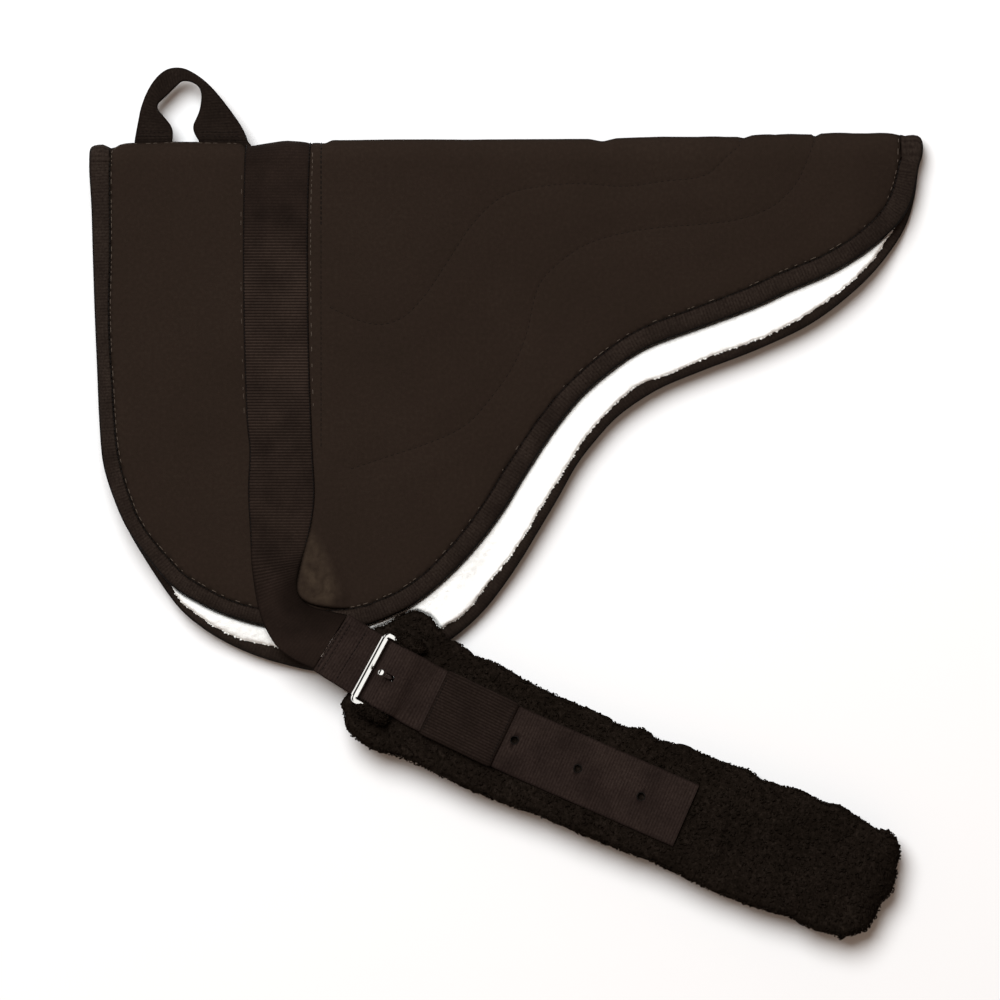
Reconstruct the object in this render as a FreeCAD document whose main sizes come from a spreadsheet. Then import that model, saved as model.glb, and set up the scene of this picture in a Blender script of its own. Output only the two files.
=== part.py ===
import FreeCAD, Part
import Sketcher
import math
import os
from FreeCAD import Placement, Rotation, Vector

# Bareback riding pad, folded in half along its spine and lying flat on its far side.
#
# Frame: +X runs from the withers (front) to the tail, +Y from the girth to the spine fold, +Z up.
# Z = 0 is the surface that the pad lies on.  All sizes are in millimetres.
#
# The pad is a sandwich: outer shell cloth, foam core, fleece lining, and a webbing binding round
# the edge.  Folded, the near half lies on the far half with the two linings face to face, so the
# levels run: far strap, far shell, far foam, far lining | near lining, near foam, near shell, near
# strap.  The fold itself is a half roll of the same layers round the fold line.
# A webbing strap is sewn right across both halves behind the withers.  Its near end turns towards
# the tail, and goes through the roller buckle and the keeper of the girth, which is folded double.

os.makedirs("parts", exist_ok=True)

doc = FreeCAD.newDocument("bareback_pad")

# ---------------------------------------------------------------- driving sizes

SIZES = [
    ("webbing_thick", "2.0", "strap webbing"),
    ("tail_thick", "1.8", "strap tail and billets, one ply pressed flat"),
    ("billet_width", "50", "billet, nominal 50 mm webbing"),
    ("shell_thick", "1.3", "outer cloth"),
    ("foam_thick", "6", "foam core"),
    ("lining_thick", "7", "fleece lining"),
    ("binding_thick", "12.7", "pressed edge inside the binding"),
    ("far_strap_level", "2.3", "underside of the far strap"),
    ("far_shell_level", "4.3", "underside of the far shell"),
    ("far_foam_level", "5.6", "underside of the far foam"),
    ("far_lining_level", "11.6", "underside of the far lining"),
    ("far_binding_level", "4.6", "underside of the far binding"),
    ("foot_height", "5.0", "thick stretches of the far binding that the pad stands on"),
    ("near_lining_level", "19.0", "underside of the near lining"),
    ("near_foam_level", "26.0", "underside of the near foam"),
    ("near_shell_level", "32.0", "underside of the near shell"),
    ("near_strap_level", "33.3", "underside of the near strap"),
    ("near_binding_level", "20.3", "underside of the near binding"),
    ("turn_level", "33.4", "underside of the turned stretch of strap"),
    ("turn_thick", "1.9", "turned stretch of strap"),
    ("tail_level", "33.6", "underside of the strap tail"),
    ("fold_line", "253.9", "distance of the fold line from the origin"),
    ("fold_level", "18.8", "height of the fold line"),
    ("edge_of_halves", "253.4", "where the flat halves end, just short of the fold line"),
    ("panel_seam", "-169.1", "seam between front and rear shell panels, under the strap"),
    ("spine_front", "-297.2", "front end of the spine layers"),
    ("spine_rear", "295.4", "rear end of the spine layers"),
    ("binding_width", "15", "width of the edge binding"),
    ("binding_rear_width", "16.8", "the binding at the rear end of the spine"),
    ("spine_strap_front", "-195.4", "front edge of the strap over the spine"),
    ("spine_strap_width", "48.8", "strap width over the spine"),
    ("handle_level", "17.8", "underside of the grab handle"),
    ("handle_thick", "2.0", "grab handle webbing"),
    ("girth_near_level", "20.3", "underside of the near layer of the girth"),
    ("girth_near_thick", "10.7", "near layer of the girth"),
    ("girth_far_thick", "20", "far layer of the girth where it rests on the table"),
    ("girth_fold_along", "406.5", "where the girth folds, from the near roller"),
    ("girth_fold_level", "20.15", "height of the girth's fold line"),
    ("girth_fold_radius", "10.85", "outside of the fold"),
    ("girth_fold_width", "68", "width of the fold"),
    ("core_thick", "2", "webbing inside the girth"),
    ("core_width", "50", "webbing inside the girth"),
    ("wire_radius", "2", "buckle wire"),
    ("frame_inside", "51", "clear width of the buckle, for 50 mm webbing"),
    ("frame_corner", "2.6", "corner radius of the wire's centre line"),
    ("roller_radius", "3.3", "roller, outside"),
    ("roller_bore", "2.06", "roller, inside radius"),
    ("roller_length", "49", "roller"),
    ("tongue_radius", "1.7", "tongue wire"),
    ("tongue_ring", "3.9", "outside of the tongue's ring"),
    ("tongue_bore", "2.05", "inside of the tongue's ring"),
    ("tongue_ring_width", "4.4", "tongue's ring"),
    ("tongue_length", "23", "tongue, from the bar to the tip"),
    ("bar_spacing_near", "21.87", "bar to bar of the near buckle, along its own plane"),
    ("bar_spacing_far", "21.5", "bar to bar of the far buckle"),
    ("chape_width", "49", "webbing loop that holds the buckle"),
    ("chape_slot", "6", "slot in the loop for the tongue"),
    ("keeper_length", "56", "keeper, along the girth"),
    ("keeper_inside", "54", "keeper, clear width"),
    ("keeper_gap", "3.4", "keeper, clear height"),
    ("keeper_wall", "1.4", "keeper webbing"),
    ("hole_radius", "3", "punched billet holes"),
]

sheet = doc.addObject("Spreadsheet::Sheet", "Sizes")
for row, (alias, value, note) in enumerate(SIZES, start=1):
    sheet.set("A%d" % row, alias)
    sheet.set("B%d" % row, value)
    sheet.setAlias("B%d" % row, alias)
    sheet.set("C%d" % row, note)
doc.recompute()


def size(alias):
    return float(sheet.get(alias))


# ---------------------------------------------------------------- outlines, seen from above

# Outline of the near half, down the front edge, round the bottom and back along the rear edge.
NEAR_OUTER = [
    (-312.2, 253.4), (-311.7, 240.4), (-311.2, 227.5), (-310.7, 214.5), (-310.2, 201.5),
    (-309.7, 188.5), (-309.2, 175.6), (-308.7, 162.6), (-308.2, 149.6), (-307.7, 136.6),
    (-307.2, 123.7), (-306.6, 110.7), (-306.1, 97.7), (-305.7, 84.7), (-305.3, 71.8),
    (-304.7, 58.8), (-303.9, 45.8), (-302.8, 32.9), (-300.2, 20.2), (-296.1, 7.9), (-291.6, -4.3),
    (-286.6, -16.3), (-280.3, -27.7), (-273, -38.4), (-265.2, -48.7), (-256.9, -58.7),
    (-247.3, -67.4), (-236, -73.9), (-224.6, -80.1), (-212.8, -85.5), (-200.5, -89.7),
    (-188, -93.1), (-175.3, -95.7), (-162.4, -97.1), (-149.4, -97.6), (-136.4, -97.1),
    (-123.4, -96.9), (-110.6, -95.2), (-98.1, -91.7), (-86.1, -86.7), (-74.4, -81.1),
    (-63.7, -73.7), (-53.7, -65.5), (-44, -56.8), (-34.7, -47.7), (-25.9, -38.2), (-17.5, -28.3),
    (-9.6, -18), (-2.1, -7.4), (5, 3.5), (11.6, 14.7), (18.5, 25.6), (25.6, 36.5), (32.8, 47.3),
    (40.4, 57.8), (48.5, 68), (57.2, 77.7), (66.8, 86.4), (76.9, 94.5), (87.2, 102.5),
    (97.9, 109.7), (109.4, 115.8), (121.5, 120.5), (133.8, 124.6), (146.1, 128.8), (158.3, 133.2),
    (170.5, 137.7), (182.6, 142.4), (194.5, 147.7), (205.9, 153.8), (217.7, 159.3), (229.7, 164.2),
    (241.6, 169.4), (253, 175.6), (264, 182.5), (274.9, 189.6), (285.5, 197), (296.5, 203.9),
    (302.3, 215.3), (305.8, 227.8), (308.3, 240.6), (310.3, 253.4),
]
# Where the near half's edge binding ends on the face, 15 mm inside its outline.
NEAR_INNER = [
    (-297.2, 253.4), (-296.7, 240.9), (-296.2, 227.8), (-295.7, 214.8), (-295.2, 201.7),
    (-294.7, 188.6), (-294.2, 175.6), (-293.7, 162.5), (-293.2, 149.4), (-292.7, 136.3),
    (-292.2, 123.3), (-291.6, 110.2), (-291.1, 97.1), (-290.7, 84), (-290.2, 71), (-289.6, 57.9),
    (-288.8, 44.8), (-287.5, 31.8), (-284.2, 19.2), (-279.8, 6.9), (-275.1, -5.4), (-269.2, -17),
    (-262.1, -28), (-254.2, -38.5), (-245.8, -48.5), (-235.9, -56.9), (-224.4, -63.2),
    (-212.8, -69.2), (-200.6, -74), (-188.1, -77.7), (-175.3, -80.5), (-162.3, -82),
    (-149.2, -82.6), (-136.2, -82.1), (-123.1, -81.8), (-110.2, -79.7), (-97.8, -75.5),
    (-85.9, -70.1), (-74.8, -63.2), (-64.6, -55.1), (-54.8, -46.4), (-45.4, -37.2), (-36.6, -27.6),
    (-28.2, -17.6), (-20.3, -7.1), (-12.8, 3.6), (-5.9, 14.7), (0.9, 25.9), (7.9, 36.9),
    (15.1, 47.9), (22.5, 58.7), (30.2, 69.2), (38.5, 79.4), (47.3, 89), (57, 97.7), (67.2, 105.9),
    (77.6, 114), (88.3, 121.4), (99.7, 127.8), (111.7, 133), (124.1, 137.2), (136.5, 141.3),
    (148.8, 145.7), (161.1, 150.2), (173.4, 154.9), (185.4, 159.9), (197, 166.1), (208.7, 171.8),
    (220.8, 176.8), (232.9, 181.9), (244.5, 188), (255.6, 194.9), (266.5, 202.1), (277.3, 209.5),
    (287.2, 217.3), (290.9, 229.8), (293.4, 242.7), (295.4, 253.4),
]
# Outline of the far half, which hangs a little lower than the near one.
FAR_OUTER = [
    (-312.2, 253.4), (-311.7, 240.4), (-311.2, 227.4), (-310.7, 214.4), (-310.2, 201.4),
    (-309.7, 188.3), (-309.2, 175.3), (-308.7, 162.3), (-308.2, 149.3), (-307.7, 136.3),
    (-307.2, 123.2), (-306.6, 110.2), (-306.1, 97.2), (-305.7, 84.2), (-305.2, 71.2),
    (-304.6, 58.1), (-303.9, 45.1), (-302.7, 32.2), (-300, 19.4), (-295.8, 7.1), (-291.3, -5.1),
    (-286.2, -17.1), (-279.7, -28.3), (-272, -38.9), (-264.6, -49.6), (-258.9, -61.3),
    (-251.6, -72), (-242.7, -81.6), (-232.6, -89.8), (-222, -97.3), (-210.9, -104.2),
    (-199.3, -110.1), (-187.2, -115.1), (-174.9, -119.1), (-162.2, -122.3), (-149.6, -125.3),
    (-136.7, -127.3), (-123.7, -128.5), (-110.7, -128.6), (-97.7, -127.6), (-85.1, -124.6),
    (-72.8, -120.1), (-60.8, -115), (-49.3, -108.9), (-38.5, -101.6), (-28.2, -93.7),
    (-18.7, -84.8), (-10.3, -74.9), (-2.8, -64.2), (4.4, -53.3), (11.3, -42.3), (18, -31.1),
    (24.5, -19.9), (31.3, -8.7), (37.9, 2.5), (44, 14), (49.7, 25.7), (56.8, 36.7), (64.9, 46.9),
    (73.7, 56.5), (83.4, 65.1), (93.9, 72.9), (104.8, 79.9), (116.2, 86.2), (128.1, 91.5),
    (140.2, 96.3), (152.5, 100.8), (164.8, 105), (177.2, 109.1), (189.4, 113.6), (201.5, 118.5),
    (213.4, 123.6), (225.1, 129.4), (236.2, 136.2), (246.6, 144), (256.5, 152.5), (266, 161.5),
    (274.7, 171.1), (282.5, 181.5), (289.9, 192.3), (296.5, 203.5), (301.9, 215.4), (305.8, 227.8),
    (308.3, 240.5), (310.3, 253.4),
]
# Where the far half's edge binding ends on the face.
FAR_INNER = [
    (-297.2, 253.4), (-296.7, 241), (-296.2, 228.1), (-295.7, 215.1), (-295.2, 202.2),
    (-294.7, 189.2), (-294.2, 176.3), (-293.7, 163.3), (-293.2, 150.4), (-292.7, 137.4),
    (-292.2, 124.5), (-291.7, 111.5), (-291.1, 98.6), (-290.7, 85.6), (-290.3, 72.7),
    (-289.7, 59.7), (-289, 46.8), (-287.8, 33.9), (-284.9, 21.3), (-280.6, 9), (-276, -3.1),
    (-270.5, -14.8), (-263.2, -25.5), (-255.6, -36), (-249, -47.2), (-243, -58.6), (-234.6, -68.5),
    (-224.8, -76.9), (-214.2, -84.4), (-203.2, -91.3), (-191.6, -97.1), (-179.6, -101.9),
    (-167.2, -105.7), (-154.6, -108.7), (-141.9, -111.4), (-129.1, -113.1), (-116.1, -113.7),
    (-103.2, -113.1), (-90.5, -110.6), (-78.3, -106.1), (-66.4, -101), (-55.1, -94.8),
    (-44.4, -87.4), (-34.4, -79.2), (-25.5, -69.8), (-17.7, -59.5), (-10.5, -48.7), (-3.5, -37.7),
    (3.2, -26.6), (9.7, -15.5), (16.4, -4.3), (23.1, 6.8), (29.3, 18.1), (34.9, 29.8), (41.5, 41),
    (49.2, 51.4), (57.6, 61.3), (66.7, 70.5), (76.6, 78.9), (87.1, 86.4), (98.1, 93.3),
    (109.4, 99.6), (121.2, 104.9), (133.3, 109.7), (145.4, 114.3), (157.7, 118.4), (170, 122.5),
    (182.2, 126.9), (194.2, 131.7), (206.2, 136.8), (217.8, 142.5), (228.8, 149.3), (239.1, 157.2),
    (248.8, 165.8), (258.1, 174.8), (266.4, 184.8), (273.9, 195.3), (280.9, 206.2), (286.7, 217.8),
    (290.9, 230.1), (293.5, 242.8), (295.4, 253.4),
]

# Front and rear edges of the strap sewn on the near half, from the fold down.
STRAP_FRONT = [(-195.4, 253.4), (-196.9, 188.6), (-196.1, 116.6), (-193.9, 57.4), (-191.9, 38.6),
               (-193.1, 8.6), (-191.3, -21.4)]
STRAP_REAR = [(-146.6, 253.4), (-148.1, 188.6), (-147.1, 104.6), (-144.7, 38.6), (-143.1, 2.6),
              (-147.7, -28.1)]
# The stretch where the strap turns towards the tail end of the pad.
STRAP_TURN = [(-191.3, -21.9), (-190.1, -49.9), (-185.3, -79.9), (-180.0, -94.9), (-170.8, -109.6),
              (-157.0, -66.0), (-156.1, -54.4), (-147.7, -28.7)]
# The straight tail between that turn and the seam where the billet starts.
STRAP_TAIL = [(-156.6, -66.9), (-119.4, -85.4), (-144.7, -125.5), (-170.4, -110.6)]
# The far strap runs straight down, to the seam of the far billet.
FAR_STRAP = [(-195.4, 253.4), (-195.4, 188.6), (-194.2, 57.4), (-194.2, -107.2), (-144.2, -107.2),
             (-144.2, 38.6), (-146.6, 188.6), (-146.6, 253.4)]
# Grab handle, a flat loop of webbing whose two ends are sewn behind the crest of the fold.
HANDLE = [(-278.2, 270.1), (-275.6, 287.2), (-272.0, 302.8), (-267.4, 311.1), (-260.1, 319.5),
          (-252.9, 323.6), (-246.9, 324.9), (-238.6, 323.1), (-229.0, 317.1), (-218.2, 308.6),
          (-209.8, 296.6), (-201.5, 284.8), (-197.5, 275.2), (-197.0, 270.1),
          (-230.1, 270.1), (-233.2, 275.2), (-234.5, 282.0), (-229.5, 293.8), (-228.4, 303.2),
          (-228.9, 310.6), (-232.6, 313.1), (-238.9, 315.6), (-245.0, 314.9), (-251.2, 310.0),
          (-257.6, 303.8), (-262.5, 298.1), (-257.5, 288.8), (-251.2, 281.4), (-250.1, 276.4),
          (-251.2, 270.1)]

# Girth outlines are in the girth's own frame: first along the girth from the near roller, then
# across it, towards the spine.
GIRTH_NEAR = [(-7, -31), (-2.5, -37.5), (5, -46), (14, -50), (29, -51.5), (50, -49.2), (90, -49.2),
              (130, -48.4), (166, -45.5), (217, -44.6), (253, -42.6), (292, -43.7), (345, -41),
              (363, -39.5), (385, -38), (398, -34.5), (406.4, -29), (406.4, 39.2), (400, 43.5), (380, 46.5),
              (352, 46.5),
              (318, 45.2), (272, 43), (235, 41), (206, 40), (192, 37.5), (160, 37.5), (128, 38),
              (95, 40), (70, 39.5), (48, 41), (31, 45), (22, 47.5), (9, 46.5), (1.5, 40)]
GIRTH_FAR = [(52, -20), (54, -38), (60, -45), (90, -48.2), (130, -47.4), (166, -44.6), (217, -43.8),
             (253, -41.8), (292, -42.8), (345, -40.2), (363, -38.7), (385, -37.2), (398, -33.7),
             (406.4, -29), (406.4, 39.2), (400, 42.7), (380, 45.7), (352, 45.7), (318, 44.4),
             (272, 42.2), (235, 40.2),
             (206, 39.2), (192, 36.7), (160, 36.7), (128, 37.2), (95, 37.5), (74, 36), (62, 31),
             (54, 22), (52, 12)]

# Local frames: origin of each and the way its first axis points, in degrees about +Z.
GIRTH_ORIGIN, GIRTH_ANGLE = (-102.75, -125.63), -24.2
BUCKLE_ORIGIN, BUCKLE_ANGLE = (-101.85, -123.98), -28.1
KEEPER_ORIGIN, KEEPER_ANGLE = (-27.75, -162.8), -25.6


# ---------------------------------------------------------------- helpers

def along(origin, angle, u, v):
    a = math.radians(angle)
    return (origin[0] + u * math.cos(a) - v * math.sin(a), origin[1] + u * math.sin(a) + v * math.cos(a))


def clip(points, axis, limit, keep_above):
    """The part of a closed outline on one side of a line square to an axis."""
    sign = 1.0 if keep_above else -1.0
    out = []
    count = len(points)
    for i in range(count):
        p, q = points[i], points[(i + 1) % count]
        dp, dq = sign * (p[axis] - limit), sign * (q[axis] - limit)
        if dp >= 0:
            out.append(p)
        if dp * dq < 0:
            k = dp / (dp - dq)
            out.append((p[0] + k * (q[0] - p[0]), p[1] + k * (q[1] - p[1])))
    return out


def body(label, origin=(0, 0), level=0.0, angle=0.0, level_alias=None):
    b = doc.addObject("PartDesign::Body", label)
    b.Label = label
    b.Placement = Placement(Vector(origin[0], origin[1], level), Rotation(Vector(0, 0, 1), angle))
    if level_alias:
        b.setExpression(".Placement.Base.z", "Sizes." + level_alias)
    return b


def sketch(b, name, role, outlines=(), circles=(), lift=0.0):
    """A sketch on one of the body's own origin planes: closed outlines of straight lines, circles."""
    sk = b.newObject("Sketcher::SketchObject", name)
    plane = [f for f in b.Origin.OriginFeatures if f.Role == role][0]
    sk.AttachmentSupport = [(plane, "")]
    sk.MapMode = "FlatFace"
    if lift:
        sk.AttachmentOffset = Placement(Vector(0, 0, lift), Rotation())
    for pts in outlines:
        first = sk.GeometryCount
        count = len(pts)
        sk.addGeometry([Part.LineSegment(Vector(pts[i][0], pts[i][1], 0),
                                         Vector(pts[(i + 1) % count][0], pts[(i + 1) % count][1], 0))
                        for i in range(count)], False)
        sk.addConstraint([Sketcher.Constraint("Coincident", first + i, 2, first + (i + 1) % count, 1)
                          for i in range(count)])
    for (x, y), alias in circles:
        g = sk.addGeometry(Part.Circle(Vector(x, y, 0), Vector(0, 0, 1), size(alias)), False)
        c = sk.addConstraint(Sketcher.Constraint("Radius", g, size(alias)))
        sk.setExpression("Constraints[%d]" % c, "Sizes." + alias)
    return sk


def pad(b, sk, name, expression, symmetric=False):
    f = b.newObject("PartDesign::Pad", name)
    f.Profile = sk
    f.setExpression("Length", expression)
    if symmetric:
        f.SideType = "Symmetric"
    sk.Visibility = False
    return f


def pocket(b, sk, name, expression, symmetric=False, upwards=False):
    f = b.newObject("PartDesign::Pocket", name)
    f.Profile = sk
    f.setExpression("Length", expression)
    if symmetric:
        f.SideType = "Symmetric"
    if upwards:
        f.Reversed = True
    sk.Visibility = False
    return f


def layer(label, outline, level_alias, thick_alias):
    """A flat layer cut to an outline."""
    b = body(label, level_alias=level_alias)
    sk = sketch(b, label + "_outline", "XY_Plane", [outline])
    pad(b, sk, label + "_pad", "Sizes." + thick_alias)
    return b


def half_ring(inner, outer, steps=12):
    """Half of a flat ring, open towards -first axis, as straight chords."""
    angles = [math.radians(-90 + 180.0 * i / steps) for i in range(steps + 1)]
    out = [(outer * math.cos(a), outer * math.sin(a)) for a in angles]
    inn = [(inner * math.cos(a), inner * math.sin(a)) for a in reversed(angles)]
    return out + inn


def roll(label, inner, outer, start, length_expression):
    """A stretch of the spine fold: a half ring round the fold line, along X."""
    b = body(label, (start, size("fold_line")), level_alias="fold_level")
    sk = sketch(b, label + "_profile", "YZ_Plane", [half_ring(inner, outer)])
    pad(b, sk, label + "_pad", length_expression)
    return b


def edge_ring(outer, inner):
    """The C-shaped outline of an edge binding, open along the fold."""
    return list(outer) + list(reversed(inner))


sub_parts = []

# ---------------------------------------------------------------- far half

sub_parts.append(layer("far_front_shell", clip(FAR_INNER, 0, size("panel_seam"), False),
                       "far_shell_level", "shell_thick"))
sub_parts.append(layer("far_rear_shell", clip(FAR_INNER, 0, size("panel_seam"), True),
                       "far_shell_level", "shell_thick"))
sub_parts.append(layer("far_foam_core", FAR_INNER, "far_foam_level", "foam_thick"))
sub_parts.append(layer("far_fleece_lining", FAR_INNER, "far_lining_level", "lining_thick"))
sub_parts.append(layer("far_strap", FAR_STRAP, "far_strap_level", "webbing_thick"))

far_binding = body("far_edge_binding")
ring = edge_ring(FAR_OUTER, FAR_INNER)
sk = sketch(far_binding, "far_binding_outline", "XY_Plane", [ring], lift=size("far_binding_level"))
sk.setExpression(".AttachmentOffset.Base.z", "Sizes.far_binding_level")
pad(far_binding, sk, "far_binding_pad", "Sizes.binding_thick")


# feet: a stretch down the front edge and a stretch round the tail
front_out = [p for p in FAR_OUTER if p[0] < -290 and -60 < p[1] < 215]
front_in = [p for p in FAR_INNER if p[0] < -275 and -60 < p[1] < 215]
rear_out = [p for p in FAR_OUTER if p[0] > 215 and 90 < p[1] < 240]
rear_in = [p for p in FAR_INNER if p[0] > 215 and 90 < p[1] < 240]
for tag, out, inn in (("front", front_out, front_in), ("rear", rear_out, rear_in)):
    sk = sketch(far_binding, "foot_" + tag, "XY_Plane", [out + list(reversed(inn))])
    pad(far_binding, sk, "foot_pad_" + tag, "Sizes.foot_height")
sub_parts.append(far_binding)

# far billet, folded back flat under the far half
SEAM_Y = -107.4
HOLE_AT = (50.5, 102.4, 154.6, 206.6, 258.2)
billet = body("far_billet")
half = size("billet_width") / 2.0
mid_x = -169.2
sk = sketch(billet, "far_billet_outline", "XY_Plane",
            [[(mid_x - half, SEAM_Y), (mid_x + half, SEAM_Y), (mid_x + half, 187.4), (mid_x - half, 187.4)]])
pad(billet, sk, "far_billet_pad", "Sizes.webbing_thick")
sk = sketch(billet, "far_billet_holes", "XY_Plane", (),
            [((mid_x, SEAM_Y - 0.2 + d), "hole_radius") for d in HOLE_AT])
pocket(billet, sk, "far_billet_punch", "Sizes.webbing_thick * 3", symmetric=True)
sub_parts.append(billet)

# ---------------------------------------------------------------- near half

sub_parts.append(layer("near_front_shell", clip(NEAR_INNER, 0, size("panel_seam"), False),
                       "near_shell_level", "shell_thick"))
sub_parts.append(layer("near_rear_shell", clip(NEAR_INNER, 0, size("panel_seam"), True),
                       "near_shell_level", "shell_thick"))
sub_parts.append(layer("near_foam_core", NEAR_INNER, "near_foam_level", "foam_thick"))
sub_parts.append(layer("near_fleece_lining", NEAR_INNER, "near_lining_level", "lining_thick"))
sub_parts.append(layer("near_edge_binding", edge_ring(NEAR_OUTER, NEAR_INNER), "near_binding_level",
                       "binding_thick"))
sub_parts.append(layer("near_strap", STRAP_FRONT + list(reversed(STRAP_REAR)), "near_strap_level",
                       "webbing_thick"))

# ---------------------------------------------------------------- spine fold

level = size("fold_level")
r_strap = level - size("far_strap_level")
r_shell = level - size("far_shell_level")
r_foam = level - size("far_foam_level")
r_lining = level - size("far_lining_level")
r_inside = 0.2
r_bind_out = level - size("far_binding_level")
r_bind_in = r_bind_out - size("binding_thick")
sub_parts.append(roll("spine_front_shell", r_foam, r_shell, size("spine_front"),
                      "Sizes.panel_seam - Sizes.spine_front"))
sub_parts.append(roll("spine_rear_shell", r_foam, r_shell, size("panel_seam"),
                      "Sizes.spine_rear - Sizes.panel_seam"))
sub_parts.append(roll("spine_foam", r_lining, r_foam, size("spine_front"),
                      "Sizes.spine_rear - Sizes.spine_front"))
sub_parts.append(roll("spine_lining", r_inside, r_lining, size("spine_front"),
                      "Sizes.spine_rear - Sizes.spine_front"))
sub_parts.append(roll("spine_strap", r_shell, r_strap, size("spine_strap_front"),
                      "Sizes.spine_strap_width"))

# The spine's binding is two short pieces, one at each end of the fold.
bind_front = body("spine_binding_front", (size("spine_front") - size("binding_width"), size("fold_line")),
                  level_alias="fold_level")
sk = sketch(bind_front, "spine_binding_profile", "YZ_Plane", [half_ring(r_bind_in, r_bind_out)])
pad(bind_front, sk, "spine_binding_pad", "Sizes.binding_width")
sub_parts.append(bind_front)
bind_rear = body("spine_binding_rear", (size("spine_rear"), size("fold_line")), level_alias="fold_level")
sk = sketch(bind_rear, "spine_binding_profile_rear", "YZ_Plane", [half_ring(r_bind_in, r_bind_out)])
pad(bind_rear, sk, "spine_binding_pad_rear", "Sizes.binding_rear_width")
sub_parts.append(bind_rear)

# ---------------------------------------------------------------- grab handle

sub_parts.append(layer("grab_handle", HANDLE, "handle_level", "handle_thick"))

# ---------------------------------------------------------------- strap turn and tail

sub_parts.append(layer("near_strap_turn", STRAP_TURN, "turn_level", "turn_thick"))
sub_parts.append(layer("near_strap_tail", STRAP_TAIL, "tail_level", "tail_thick"))

# ---------------------------------------------------------------- near billet

# Stations along the billet: centre, height of its middle, and the way it heads, in degrees.
# It lies flat to the roller, goes under it, climbs over the buckle's inner bar, drops through the
# keeper and lies on the girth to its tip.
b_at = lambda u: along(BUCKLE_ORIGIN, BUCKLE_ANGLE, u, 0.0)
BILLET = [
    ((-131.2, -105.6), 34.5, -32.2),
    (b_at(4.5), 34.5, -28.1),
    (b_at(15.5), 40.2, -28.1),
    (b_at(27.0), 40.2, -27.6),
    ((-64.4, -144.8), 34.5, -26.4),
    ((1.9, -177.4), 34.5, -25.4),
    ((14.6, -183.0), 32.3, -24.6),
    ((134.3, -235.5), 32.3, -22.6),
]


def strap_solid(stations, width, thick):
    """A closed flat-faced solid swept through the stations, lying level across its width."""
    sections = []
    count = len(stations)
    for i, (centre, z, heading) in enumerate(stations):
        before, after = stations[max(i - 1, 0)], stations[min(i + 1, count - 1)]
        # the thickness stands square to the mean slope here, and the mitre keeps it even
        def slope(p, q):
            run = math.hypot(q[0][0] - p[0][0], q[0][1] - p[0][1])
            return math.atan2(q[1] - p[1], run) if run > 1e-9 else 0.0
        s1, s2 = slope(before, stations[i]), slope(stations[i], after)
        if i == 0:
            s1 = s2
        if i == count - 1:
            s2 = s1
        s = (s1 + s2) / 2.0
        t = thick / 2.0 / max(math.cos((s1 - s2) / 2.0), 0.5)
        a = math.radians(heading)
        side = Vector(-math.sin(a), math.cos(a), 0)
        fwd = Vector(math.cos(a), math.sin(a), 0)
        up = Vector(0, 0, 1) * math.cos(s) - fwd * math.sin(s)
        c = Vector(centre[0], centre[1], z)
        w = width / 2.0
        sections.append([c - side * w - up * t, c + side * w - up * t, c + side * w + up * t,
                         c - side * w + up * t])
    faces = []

    def tri(p, q, r):
        faces.append(Part.Face(Part.makePolygon([p, q, r, p])))

    for a_sec, b_sec in zip(sections, sections[1:]):
        for i in range(4):
            j = (i + 1) % 4
            tri(a_sec[i], a_sec[j], b_sec[j])
            tri(a_sec[i], b_sec[j], b_sec[i])
    for sec in (sections[0], sections[-1]):
        tri(sec[0], sec[1], sec[2])
        tri(sec[0], sec[2], sec[3])
    solid = Part.makeSolid(Part.makeShell(faces))
    if solid.Volume < 0:
        solid.reverse()
    return solid


shape = strap_solid(BILLET, size("billet_width"), size("tail_thick"))
# punched holes: the first is drawn out into a slot by the tongue that stands in it
r = size("hole_radius")
slot = Part.makeBox(7.6, 4.6, 30, Vector(13.6, -2.3, 25))
slot.Placement = Placement(Vector(BUCKLE_ORIGIN[0], BUCKLE_ORIGIN[1], 0),
                           Rotation(Vector(0, 0, 1), BUCKLE_ANGLE))
holes = [(-41.25, -156.8), (6.2, -178.9), (53.6, -200.3), (100.9, -221.1)]
tools = [slot] + [Part.makeCylinder(r, 30, Vector(x, y, 20)) for x, y in holes]
shape = shape.cut(tools)
shape = shape.Solids[0] if len(shape.Solids) == 1 else shape
near_billet = doc.addObject("Part::Feature", "near_billet")
near_billet.Label = "near_billet"
near_billet.Shape = shape
near_billet.Placement = Placement(Vector(0, 0, 0), Rotation())
sub_parts.append(near_billet)

# ---------------------------------------------------------------- girth

# Each layer of the girth is a fleece sleeve with a webbing core through it.
near_sleeve = body("girth_near_sleeve", GIRTH_ORIGIN, angle=GIRTH_ANGLE, level_alias="girth_near_level")
sk = sketch(near_sleeve, "girth_near_outline", "XY_Plane", [GIRTH_NEAR])
pad(near_sleeve, sk, "girth_near_pad", "Sizes.girth_near_thick")


def core(label, start, level_value):
    """The webbing inside one layer of the girth, from its start to the fold."""
    b = body(label, GIRTH_ORIGIN, level=level_value, angle=GIRTH_ANGLE)
    half_w = size("core_width") / 2.0
    end = size("girth_fold_along") - 0.1
    s = sketch(b, label + "_outline", "XY_Plane",
               [[(start, -half_w), (end, -half_w), (end, half_w), (start, half_w)]])
    pad(b, s, label + "_pad", "Sizes.core_thick")
    return b


def tunnel(name, start, level_value):
    """The tunnel that the core runs in, open towards the fold."""
    box = doc.addObject("Part::Box", name)
    box.setExpression("Height", "Sizes.core_thick")
    box.setExpression("Width", "Sizes.core_width")
    box.setExpression("Length", "Sizes.girth_fold_along - %g + 5" % start)
    x, y = along(GIRTH_ORIGIN, GIRTH_ANGLE, start, -size("core_width") / 2.0)
    box.Placement = Placement(Vector(x, y, level_value), Rotation(Vector(0, 0, 1), GIRTH_ANGLE))
    return box


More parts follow.
